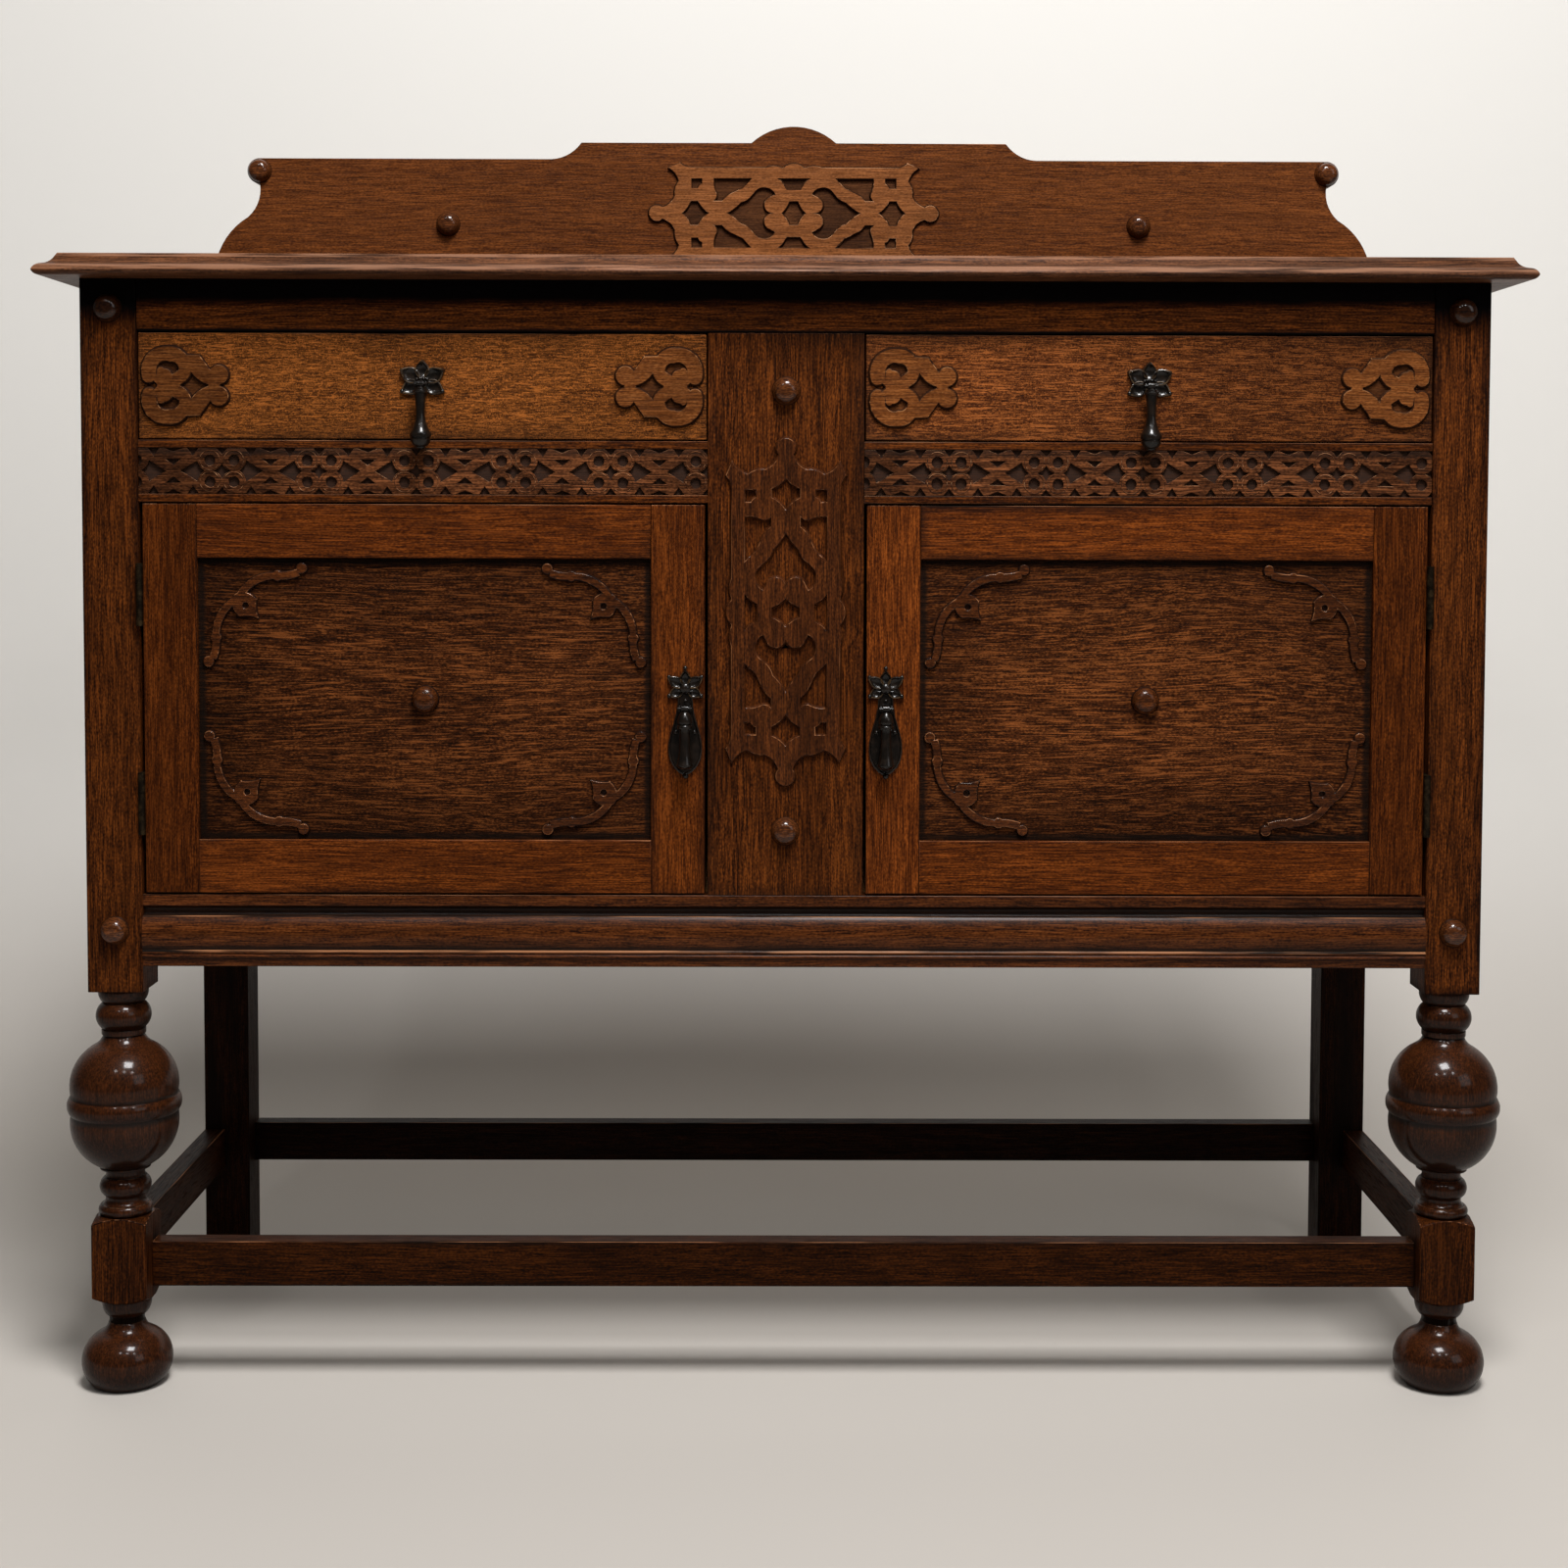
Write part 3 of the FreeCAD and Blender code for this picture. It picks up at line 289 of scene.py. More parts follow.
class ShaderGroups:
    """The effects that several finishes share, each built once as a node group."""

    def __init__(self) -> None:
        """Builds every group."""
        self.oak_grain = self._oak_grain()
        self.edge_wear = self._edge_wear()
        self.old_grime = self._old_grime()

    @staticmethod
    def _start(name: str, takes: dict[str, str], gives: dict[str, str]) -> tuple[NodeSheet, object, object]:
        """Makes an empty group with named sockets.

        Args:
            name: the group's name.
            takes: input names and socket types.
            gives: output names and socket types.

        Returns:
            The sheet to add nodes on, the input sockets and the output sockets.
        """
        tree = bpy.data.node_groups.new(name, "ShaderNodeTree")
        for title, kind in takes.items():
            tree.interface.new_socket(name=title, in_out="INPUT", socket_type=kind)
        for title, kind in gives.items():
            tree.interface.new_socket(name=title, in_out="OUTPUT", socket_type=kind)
        sheet = NodeSheet(tree)
        return sheet, sheet.add("NodeGroupInput").outputs, sheet.add("NodeGroupOutput").inputs

    def _oak_grain(self) -> NodeTree:
        """Oak with growth rings, streaks, open pores and flecks, its fibres along the vector's X."""
        takes = {"Vector": VECTOR_SOCKET}
        takes |= dict.fromkeys(("Pale", "Middle", "Deep"), COLOUR_SOCKET)
        amounts = ("Rings", "Ring Count", "Wave", "Shortness", "Pores", "Streaks", "Fleck", "Cloud")
        takes |= dict.fromkeys(amounts, NUMBER_SOCKET)
        gives = {"Color": COLOUR_SOCKET, "Height": NUMBER_SOCKET, "Open Pores": NUMBER_SOCKET}
        sheet, given, out = self._start("oak_grain", takes, gives)
        place = given["Vector"]
        # The fibres sway a little from side to side.
        sway = sheet.noise(place, 2.0, 7.0, 2.0).node.outputs["Color"]
        drift = sheet.vector("SUBTRACT", sway, (0.5, 0.5, 0.5))
        drift = sheet.vector("SCALE", sheet.vector("MULTIPLY", drift, (0.0, 0.022, 0.022)), given["Wave"])
        bent = sheet.vector("ADD", place, drift)

        # Growth rings, and fibres chopped to the length that the finish asks for.
        slow = sheet.noise(bent, 0.8, 8.0, 1.0)
        turns = sheet.maths("MULTIPLY", slow, sheet.maths("MULTIPLY", given["Ring Count"], 2 * math.pi))
        ring = sheet.step(sheet.maths("SINE", turns), -0.4, 1.0)
        chopped = sheet.add("ShaderNodeCombineXYZ")
        sheet.wire(chopped, {"X": given["Shortness"], "Y": 1.0, "Z": 1.0})
        fibre = sheet.vector("MULTIPLY", bent, chopped.outputs[0])
        apart = sheet.vector("ADD", fibre, (0.31, 0.17, 0.53))

        # The body colour, from broad bands down to fine specks.
        broad = sheet.noise(bent, 1.6, 34.0, 3.0)
        line = sheet.noise(bent, 9.0, 240.0, 2.0)
        strand = sheet.noise(fibre, 36.0, 600.0, 1.0)
        dash = sheet.noise(apart, 46.0, 1300.0, 1.0)
        speck = sheet.noise(apart, 420.0, 900.0, 0.0)
        body = sheet.maths("MULTIPLY_ADD", broad, 0.10, sheet.maths("MULTIPLY", line, 0.12))
        for layer, share in ((strand, 0.14), (dash, 0.40), (speck, 0.24)):
            body = sheet.maths("MULTIPLY_ADD", layer, share, body)
        tint = sheet.mixed(sheet.step(body, 0.41, 0.49), given["Deep"], given["Middle"])
        tint = sheet.mixed(sheet.step(body, 0.51, 0.59), tint, given["Pale"])
        tint = sheet.mixed(sheet.maths("MULTIPLY", ring, given["Rings"]), tint, given["Deep"])

        # Dark open pores, the long ones thicker in the rings.
        long_pores = sheet.step(sheet.noise(fibre, 20.0, 1000.0, 1.0), 0.57, 0.65)
        long_pores = sheet.maths("MULTIPLY", long_pores, sheet.maths("MULTIPLY_ADD", ring, 0.5, 0.5))
        short_pores = sheet.step(sheet.noise(fibre, 64.0, 1350.0, 1.0), 0.57, 0.66)
        pores = sheet.maths("MAXIMUM", long_pores, short_pores)
        dark = sheet.mixed(1.0, given["Deep"], (0.22, 0.18, 0.16, 1.0), "MULTIPLY")
        tint = sheet.mixed(sheet.maths("MULTIPLY", pores, given["Pores"]), tint, dark)

        # Pale streaks and flecks, and the slow change from place to place.
        streak = sheet.step(sheet.noise(apart, 24.0, 720.0, 2.0), 0.56, 0.67)
        bright = sheet.mixed(1.0, given["Pale"], (1.7, 1.65, 1.6, 1.0), "MULTIPLY")
        tint = sheet.mixed(sheet.maths("MULTIPLY", streak, given["Streaks"]), tint, bright)
        fleck = sheet.step(sheet.noise(apart, 210.0, 800.0, 1.0), 0.57, 0.68)
        tint = sheet.mixed(sheet.maths("MULTIPLY", fleck, given["Fleck"]), tint, bright)
        cloud = sheet.maths("SUBTRACT", sheet.noise(place, 3.5, 6.0, 2.0), 0.5)
        sheet.feed(out["Color"], sheet.lit(tint, sheet.maths("MULTIPLY_ADD", cloud, given["Cloud"], 1.0)))

        # The surface: strands stand up and pores are sunk.
        rise = sheet.maths("MULTIPLY_ADD", strand, 0.4, sheet.maths("MULTIPLY", streak, 0.25))
        sheet.feed(out["Height"], sheet.maths("SUBTRACT", rise, sheet.maths("MULTIPLY", pores, 0.7)))
        sheet.feed(out["Open Pores"], pores)
        return sheet.tree

    def _edge_wear(self) -> NodeTree:
        """Mask of the pale arrises: those that handling has rubbed, and those with a painted highlight."""
        takes = {"Vector": VECTOR_SOCKET} | dict.fromkeys(("Edge", "Amount"), NUMBER_SOCKET)
        sheet, given, out = self._start("edge_wear", takes, {"Mask": NUMBER_SOCKET})
        patch = sheet.noise(given["Vector"], 14.0, 320.0, 3.0)
        near = sheet.maths("ADD", given["Edge"], sheet.maths("MULTIPLY_ADD", patch, 1.4, -0.7))
        sheet.feed(out["Mask"], sheet.maths("MULTIPLY", sheet.step(near, 0.8, 1.15), given["Amount"]))
        return sheet.tree

    def _old_grime(self) -> NodeTree:
        """Mask of dirt and painted shade, thick in the crevices and patchy towards the edges of a board."""
        takes = {"Vector": VECTOR_SOCKET} | dict.fromkeys(("Crevice", "Edge", "Amount"), NUMBER_SOCKET)
        sheet, given, out = self._start("old_grime", takes, {"Mask": NUMBER_SOCKET})
        patch = sheet.noise(given["Vector"], 18.0, 26.0, 3.0)
        depth = sheet.maths("SUBTRACT", given["Crevice"], 0.25)
        packed = sheet.step(sheet.maths("MULTIPLY_ADD", patch, 0.5, depth), 0.1, 0.9)
        broad = sheet.noise(given["Vector"], 5.0, 9.0, 2.0)
        spread = sheet.maths("MULTIPLY", sheet.step(broad, 0.35, 0.7), 1.8)
        film = sheet.maths("MULTIPLY", given["Edge"], spread)
        thick = sheet.maths("MAXIMUM", packed, film)
        sheet.feed(out["Mask"], sheet.maths("MULTIPLY", thick, given["Amount"]))
        return sheet.tree


@dataclass(frozen=True)
class OakFinish:
    """One stain and polish on oak.

    Most fields are strengths from 0 up. Of the others, shortness is how much shorter than a plain board's
    the fibres are, grain_depth is in metres, dulling is how much rougher pores, dirt and painted shade are,
    rubbed is the colour of rubbed arrises and of painted highlights, and dirt the colour of old dirt and of
    painted shade.
    """

    name: str
    pale: Colour
    middle: Colour
    deep: Colour
    roughness: float = 0.42
    coat: float = 0.0
    coat_roughness: float = 0.2
    specular: float = 0.04
    rings: float = 0.3
    ring_count: float = 24.0
    wave: float = 1.0
    shortness: float = 1.0
    pores: float = 0.8
    streaks: float = 0.35
    fleck: float = 0.0
    cloud: float = 0.9
    wear: float = 0.8
    grime: float = 0.85
    relief: float = 0.3
    grain_depth: float = 0.6 * MM
    dulling: float = 0.2
    rubbed: Colour = paint(150, 100, 66)
    dirt: Colour = paint(14, 8, 5)

    def material(self, groups: ShaderGroups, grain: Grain) -> Material:
        """Makes the finish for boards of one grain direction.

        Args:
            groups: the shared effects.
            grain: which way the fibres run.

        Returns:
            The material.
        """
        made, sheet, shader = new_material(f"{self.name}_{grain.name.lower()}")
        sheet.wire(shader, {"Specular IOR Level": self.specular, "Coat Weight": self.coat,
                            "Coat Roughness": self.coat_roughness})
        mapping = sheet.add("ShaderNodeMapping")
        sheet.wire(mapping, {"Rotation": grain.value,
                             "Vector": sheet.add("ShaderNodeTexCoord").outputs["Object"]})
        place = mapping.outputs[0]
        marks = {name: sheet.add("ShaderNodeAttribute", attribute_name=name).outputs["Fac"]
                 for name in (EDGE, DIRT_AND_SHADE, TONE)}

        oak = sheet.group(groups.oak_grain, {
            "Vector": place, "Pale": self.pale, "Middle": self.middle, "Deep": self.deep,
            "Rings": self.rings, "Ring Count": self.ring_count, "Wave": self.wave,
            "Shortness": self.shortness, "Pores": self.pores, "Streaks": self.streaks,
            "Fleck": self.fleck, "Cloud": self.cloud})
        grime = sheet.group(groups.old_grime, {
            "Vector": place, "Crevice": marks[DIRT_AND_SHADE], "Edge": marks[EDGE], "Amount": self.grime})
        wear = sheet.group(groups.edge_wear, {"Vector": place, "Edge": marks[EDGE], "Amount": self.wear})
        toned = sheet.lit(oak.outputs["Color"], sheet.maths("ADD", marks[TONE], 1.0))
        # The dirt colour goes where there is old dirt and where shade is painted; the rubbed colour goes on
        # rubbed arrises and on painted highlights.
        colour = sheet.mixed(grime.outputs["Mask"], toned, self.dirt)
        colour = sheet.mixed(wear.outputs["Mask"], colour, self.rubbed)
        rough = sheet.maths("MULTIPLY_ADD", oak.outputs["Open Pores"], self.dulling, self.roughness)
        rough = sheet.maths("MULTIPLY_ADD", grime.outputs["Mask"], self.dulling, rough)
        sheet.wire(shader, {"Base Color": colour, "Roughness": rough,
                            "Normal": sheet.bump(oak.outputs["Height"], self.relief, self.grain_depth)})
        return made


@dataclass(frozen=True)
class MetalFinish:
    """Cast brass with a dark patina, rubbed on its high places."""

    name: str
    patina: Colour
    tarnish: Colour
    rubbed: Colour
    metallic: float
    roughness: float
    coat: float
    specular: float = 0.15
    coat_roughness: float = 0.06
    wear: float = 0.7
    relief: float = 0.12
    cast_depth: float = 0.3 * MM
    mottle: float = 160.0

    def material(self, groups: ShaderGroups) -> Material:
        """Makes the finish.

        Args:
            groups: the shared effects.

        Returns:
            The material.
        """
        made, sheet, shader = new_material(self.name)
        sheet.wire(shader, {"Metallic": self.metallic, "Specular IOR Level": self.specular,
                            "Coat Weight": self.coat, "Coat Roughness": self.coat_roughness})
        place = sheet.add("ShaderNodeTexCoord").outputs["Object"]
        cloud = sheet.noise(place, self.mottle, self.mottle, 4.0, 0.6)
        colour = sheet.mixed(sheet.step(cloud, 0.42, 0.68), self.patina, self.tarnish)
        edge = sheet.add("ShaderNodeAttribute", attribute_name=EDGE).outputs["Fac"]
        wear = sheet.group(groups.edge_wear, {"Vector": place, "Edge": edge, "Amount": self.wear})
        sheet.wire(shader, {"Base Color": sheet.mixed(wear.outputs["Mask"], colour, self.rubbed),
                            "Roughness": sheet.maths("MULTIPLY_ADD", cloud, 0.25, self.roughness - 0.1),
                            "Normal": sheet.bump(cloud, self.relief, self.cast_depth)})
        return made


def stained(base: OakFinish, name: str, *tints: tuple[int, int, int], **changes: object) -> OakFinish:
    """Makes a finish like another one.

    Args:
        base: the finish that it is like.
        name: its name.
        tints: its pale, middle and deep colours as a screen shows them.
        changes: other fields that differ.

    Returns:
        The finish.
    """
    pale, middle, deep = (paint(*tint) for tint in tints)
    return replace(base, name=name, pale=pale, middle=middle, deep=deep, **changes)


CARCASS = OakFinish("carcass_oak", paint(100, 51, 16), paint(66, 31, 9), paint(32, 12, 3),
                    pores=0.55, streaks=0.25)
GALLERY = stained(CARCASS, "gallery_oak", (106, 58, 25), (82, 43, 17), (57, 27, 10),
                  pores=0.3, streaks=0.15, rings=0.1, cloud=0.35)
TOP = stained(CARCASS, "top_oak", (110, 69, 43), (83, 49, 29), (48, 25, 13), roughness=0.4, specular=0.12,
              rubbed=paint(140, 99, 75), cloud=0.4, grime=0.4, wear=0.65)
TURNED = stained(CARCASS, "turned_oak", (60, 29, 11), (43, 20, 7), (27, 11, 4), roughness=0.35, coat=0.25,
                 coat_roughness=0.12, relief=0.05, wear=0.25, rings=0.15)
STUD = stained(TURNED, "stud_oak", (92, 50, 22), (64, 33, 14), (40, 18, 7), coat=0.5, coat_roughness=0.1)
# Oak whose dirt colour is near black, for the painted shadow and painted shade on the front posts and the
# rail under the top.
SHADOWED_OAK = replace(CARCASS, name="post_oak", dirt=paint(3, 1, 1), grime=1.0)
RAIL = replace(CARCASS, name="rail_oak", pale=paint(88, 46, 18), coat=0.15, coat_roughness=0.25, relief=0.05)
# The sunk field of the frieze rails, darkened with dirt and painted shade behind the lattice.
FIELD = replace(CARCASS, name="frieze_rail_oak", dirt=paint(44, 32, 26))
# More pale arris on the stretchers: wear, and painted highlight on their lit top arrises.
STRETCHER = replace(CARCASS, name="stretcher_oak", wear=0.9, relief=0.1)
FRAME = stained(CARCASS, "door_frame_oak", (114, 57, 18), (82, 38, 10), (52, 21, 5))
PANEL = stained(CARCASS, "panel_oak", (108, 60, 27), (60, 29, 11), (28, 11, 4), rings=0.15, ring_count=30.0,
                wave=2.2, shortness=1.1, pores=0.6, streaks=0.5)
FRONT_LEFT = stained(CARCASS, "drawer_oak_golden", (130, 74, 30), (89, 49, 18), (53, 26, 8), rings=0.15,
                     shortness=2.8, fleck=0.5, streaks=0.5, pores=0.5)
FRONT_RIGHT = stained(FRONT_LEFT, "drawer_oak_red", (134, 76, 35), (87, 45, 19), (50, 22, 8),
                      fleck=0.35, shortness=2.0)
CARVING = stained(CARCASS, "carving_oak", (138, 85, 47), (116, 69, 36), (90, 51, 24), wear=0.85,
                  rubbed=paint(172, 124, 88), pores=0.3, dirt=paint(16, 8, 6))
END_CARVING = stained(CARVING, "drawer_carving_oak", (130, 78, 38), (104, 58, 25), (76, 39, 14),
                      rubbed=paint(158, 108, 68), pores=0.5)
LOW_CARVING = stained(CARVING, "door_carving_oak", (84, 43, 16), (60, 29, 10), (36, 15, 4), wear=0.9,
                      rubbed=paint(138, 90, 56), pores=0.55, coat=0.25, coat_roughness=0.15)
PILASTER_CARVING = replace(LOW_CARVING, name="pilaster_carving_oak", grime=0.2, dirt=paint(34, 16, 6))
FRIEZE = stained(CARVING, "frieze_oak", (118, 70, 40), (80, 45, 24), (44, 22, 10), streaks=0.5, wear=0.8,
                 pores=0.6, dirt=paint(24, 17, 13))
INNER = OakFinish("inner_wood", paint(150, 114, 78), paint(124, 90, 58), paint(92, 62, 38), roughness=0.65,
                  rings=0.4, pores=0.4, streaks=0.2, wear=0.2, grime=0.5, dirt=paint(60, 40, 24))
HANDLE_BRASS = MetalFinish("handle_brass", paint(14, 10, 7), paint(26, 18, 12), paint(84, 64, 42),
                           metallic=0.1, roughness=0.3, coat=0.3)
HINGE_BRASS = MetalFinish("hinge_brass", paint(24, 18, 12), paint(54, 42, 26), paint(110, 88, 54),
                          metallic=0.8, roughness=0.45, coat=0.0)


class Palette:
    """Hands out materials, making each one once."""

    def __init__(self) -> None:
        """Builds the shared groups."""
        self.groups = ShaderGroups()
        self.made: dict[object, Material] = {}

    def oak(self, finish: OakFinish, grain: Grain) -> Material:
        """The material of an oak finish along one grain."""
        if (finish, grain) not in self.made:
            self.made[finish, grain] = finish.material(self.groups, grain)
        return self.made[finish, grain]

    def metal(self, finish: MetalFinish) -> Material:
        """The material of a metal finish."""
        if finish not in self.made:
            self.made[finish] = finish.material(self.groups)
        return self.made[finish]


@dataclass
class Bench:
    """Copies CAD nodes, softens them and sets finished pieces in the frame."""

    palette: Palette
    arris: float = 0.8 * MM
    fine_arris: float = 0.6 * MM
    short_arris: float = 14 * MM
    merge: float = 0.01 * MM
    flat: float = math.radians(0.5)
    sharp: float = math.radians(32)
    smooth: float = math.radians(48)
    turn_steps: int = 40
    least_area: float = 200 * MM * MM
    rim_mark: float = 0.45
    rim_share: float = 0.4
    rim_room: float = 1.5
    skin: float = 0.3 * MM
    foot_depth: float = 0.05 * MM

    def blank(self) -> BMesh:
        """An empty mesh with the layers that the finishes read."""
        made = bmesh.new()
        made.loops.layers.float.new(EDGE)
        for name in (DIRT_AND_SHADE, TONE):
            made.verts.layers.float.new(name)
        return made

    def copy_of(self, node: str) -> BMesh:
        """Copies a CAD node, with its loose triangles merged and its flat faces made whole.

        Args:
            node: the node's name.

        Returns:
            The mesh.
        """
        made = self.blank()
        made.from_mesh(frame["nodes"][node].data)
        bmesh.ops.remove_doubles(made, verts=made.verts, dist=self.merge)
        bmesh.ops.dissolve_limit(made, angle_limit=self.flat, verts=made.verts, edges=made.edges)
        return made

    def soften(self, made: BMesh, width: float, band: float, shortest: float = 0.0,
               sides: float = 0.5) -> None:
        """Rounds the arrises, and marks the arrises, the crevices and a band along each face's rim.

        Args:
            made: the mesh.
            width: how far the rounding reaches on each face.
            band: how far wear, dirt and painted shade reach inwards from an arris, or 0 for no band.
            shortest: arrises shorter than this stay sharp.
            sides: how far arrises are rubbed that do not face up, from 0 to 1; those that face up also get
                painted highlight.
        """
        grime = made.verts.layers.float[DIRT_AND_SHADE]
        arrises = []
        for line in made.edges:
            angle = line.calc_face_angle_signed(0.0)
            if angle > self.sharp and line.calc_length() >= shortest:
                arrises.append(line)
            elif angle < -self.sharp:
                # Hollow corners get dirt and painted shade.
                for corner in line.verts:
                    corner[grime] = 1.0
        rounded = bmesh.ops.bevel(
            made, geom=arrises, offset=width, offset_type="OFFSET", segments=2, profile=0.5, affect="EDGES",
            clamp_overlap=False, loop_slide=False, material=-1)["faces"]
        # Arrises that face up get more of the pale mark, a painted highlight on top of wear.
        for face in rounded:
            self.rub(made, [face], sides + (1.0 - sides) * max(0.0, face.normal.z))
        if band:
            self._band(made, set(rounded), band)

    def _band(self, made: BMesh, rounded: set[BMFace], band: float) -> None:
        """Cuts a band along the rim of every plain flat face, so that the marks fade across it.

        Args:
            made: the mesh.
            rounded: the faces of the arrises, which get no band.
            band: the band's width on wide faces.
        """
        edge, grime = made.loops.layers.float[EDGE], made.verts.layers.float[DIRT_AND_SHADE]
        plain = [face for face in made.faces if face not in rounded and face.calc_area() > self.least_area]
        for face in plain:
            shortest = min(line.calc_length() for line in face.edges)
            around = sum(line.calc_length() for line in face.edges)
            width = min(band, self.rim_share * face.calc_area() / around)
            if shortest < self.rim_room * width or not all(loop.is_convex for loop in face.loops):
                continue
            rims = bmesh.ops.inset_region(made, faces=[face], use_boundary=True, use_even_offset=True,
                                          thickness=width)["faces"]
            inner = set(face.verts)
            for rim in rims:
                for loop in rim.loops:
                    loop[edge] = 0.0 if loop.vert in inner else self.rim_mark
            for corner in inner:
                corner[grime] = 0.0

    @staticmethod
    def rub(made: BMesh, faces: Iterable[BMFace], share: float = 1.0) -> None:
        """Marks faces as pale arrises, up to a share from 0 to 1: wear that hands have rubbed, and painted
        highlight.
        """
        edge = made.loops.layers.float[EDGE]
        for face in faces:
            for loop in face.loops:
                loop[edge] = share

    def flare(self, made: BMesh, reach: float) -> None:
        """Widens the foot of a plate that lies on a board and darkens it there as painted shade.

        Args:
            made: the plate, its back towards +Y.
            reach: how far the foot goes out.
        """
        grime = made.verts.layers.float[DIRT_AND_SHADE]
        foot = max(corner.co.y for corner in made.verts)
        for corner in [c for c in made.verts if c.co.y > foot - self.foot_depth]:
            out = sum((face.normal for face in corner.link_faces if abs(face.normal.y) < 0.5), Vector())
            if out.length > 1e-6:
                corner.co += out.normalized() * reach
                corner[grime] = 1.0

    def plate(self, node: str, foot: float, arris: float, opening_shade: float = 0.0) -> BMesh:
        """Copies a carved plate that lies on a board, with rubbed arrises that also carry painted highlight,
        and dirt and painted shade on its walls and round its foot.

        Args:
            node: the CAD node.
            foot: how far its foot goes out.
            arris: how far the rounding of its arrises reaches.
            opening_shade: how dark the painted shade on the board in the plate's openings is, from 0 to 1.

        Returns:
            The mesh.
        """
        made = self.copy_of(node)
        skins = self._wax_skins(made, opening_shade) if opening_shade else []
        self.flare(made, foot)
        self.soften(made, arris, 0.0, sides=0.8)
        face = max((face for face in made.faces if face.normal.y < -0.99), key=BMFace.calc_area)
        front = face.calc_center_median().y + 0.4 * arris
        # The walls darken towards the board: dirt and painted shade.
        self.mark(made, DIRT_AND_SHADE, lambda spot: min(1.0, max(0.0, (spot.y - front) / (0.6 * arris))))
        return self.join(made, *skins)

    def _wax_skins(self, made: BMesh, share: float) -> list[BMesh]:
        """Makes a thin dark skin on the board in each opening of a plate, as painted shade of the deep
        opening.

        Args:
            made: the plate, its back towards +Y.
            share: how dark the painted shade is, from 0 to 1.

        Returns:
            One mesh for each opening.
        """
        skins = []
        for opening in self._openings(made):
            skin = self.blank()
            grime = skin.verts.layers.float[DIRT_AND_SHADE]
            front = skin.faces.new([skin.verts.new(spot - Vector((0, self.skin / 2, 0))) for spot in opening])
            self.deepen(skin, [front], self.skin)
            for corner in skin.verts:
                corner[grime] = share
            skins.append(skin)
        return skins

    @staticmethod
    def _openings(made: BMesh) -> list[list[Vector]]:
        """Outlines of a plate's openings on its back face.

        Args:
            made: the plate, its back towards +Y.

        Returns:
            The corners of each opening in order.
        """
        back = {face for face in made.faces if face.normal.y > 0.9}
        rims = [line for line in made.edges if sum(face in back for face in line.link_faces) == 1]
        openings = []
        while rims:
            first = rims.pop()
            chain, facing = [first.verts[0], first.verts[1]], [first]
            while chain[-1] is not chain[0]:
                line = next(line for line in chain[-1].link_edges if line in rims)
                rims.remove(line)
                facing.append(line)
                chain.append(line.other_vert(chain[-1]))
            spots = [corner.co.copy() for corner in chain[:-1]]
            centre = sum(spots, Vector()) / len(spots)
            inward = 0.0
            for line in facing:
                wall = next(face for face in line.link_faces if face not in back)
                half_way = (line.verts[0].co + line.verts[1].co) / 2
                inward -= wall.normal.dot(half_way - centre) * line.calc_length()
            if inward > 0:
                openings.append(spots)
        return openings

    @staticmethod
    def mark(made: BMesh, name: str, value: Callable[[Vector], float]) -> None:
        """Sets one of the finishes' marks on every corner, from its place."""
        layer = made.verts.layers.float[name]
        for corner in made.verts:
            corner[layer] = value(corner.co)

    def fade(self, made: BMesh, name: str, levels: Points, axis: int = 2) -> None:
        """Cuts the mesh's faces across an axis and lets one of the finishes' marks change along it.

        Dirt and painted shade before the first place stay as they are.

        Args:
            made: the mesh.
            name: the mark.
            levels: places along the axis and the mark at each, in rising order.
            axis: 0 for X, 2 for Z.
        """
        way = Vector((axis == 0, axis == 1, axis == 2))
        for level, _ in levels:
            self.cut(made, way * level, way)
        layer = made.verts.layers.float[name]
        for corner in made.verts:
            if name != DIRT_AND_SHADE or corner.co[axis] > levels[0][0]:
                corner[layer] = between(levels, corner.co[axis])

    @staticmethod
    def deepen(made: BMesh, faces: list[BMFace], depth: float) -> None:
        """Carries flat faces back along +Y, so that they close to a solid."""
        grown = bmesh.ops.extrude_face_region(made, geom=faces, use_keep_orig=True)["geom"]
        corners = [item for item in grown if isinstance(item, BMVert)]
        bmesh.ops.translate(made, vec=(0, depth, 0), verts=corners)
        bmesh.ops.recalc_face_normals(made, faces=made.faces)

    @staticmethod
    def cut(made: BMesh, spot: Vector, way: Vector, clear: bool = False) -> None:
        """Cuts every face along a plane, and clears what lies beyond it if asked."""
        everything = made.verts[:] + made.edges[:] + made.faces[:]
        bmesh.ops.bisect_plane(made, geom=everything, plane_co=spot, plane_no=way, clear_outer=clear)

    def lathe(self, profile: Iterable[Point], middle: Vector, axis: Vector = Vector((0, 0, 1))) -> BMesh:
        """Turns a profile round an axis.

        Args:
            profile: radius and height of each point, in metres, from one end to the other.
            middle: the origin of the profile.
            axis: the axis the heights run along.

        Returns:
            The turned mesh, closed at both ends.
        """
        made = self.blank()
        aside = Vector((1, 0, 0)) if abs(axis.x) < 0.5 else Vector((0, 1, 0))
        chain = [made.verts.new(middle + axis * height + aside * radius) for radius, height in profile]
        lines = [made.edges.new(pair) for pair in zip(chain, chain[1:])]
        bmesh.ops.spin(made, geom=chain + lines, cent=middle, axis=axis, angle=2 * math.pi,
                       steps=self.turn_steps, use_merge=True)
        bmesh.ops.remove_doubles(made, verts=made.verts, dist=0.002 * MM)
        bmesh.ops.recalc_face_normals(made, faces=made.faces)
        return made

    @staticmethod
    def join(made: BMesh, *others: BMesh) -> BMesh:
        """Adds other meshes to one and frees them."""
        for other in others:
            spare = bpy.data.meshes.new("spare")
            other.to_mesh(spare)
            other.free()
            made.from_mesh(spare)
            bpy.data.meshes.remove(spare)
        return made

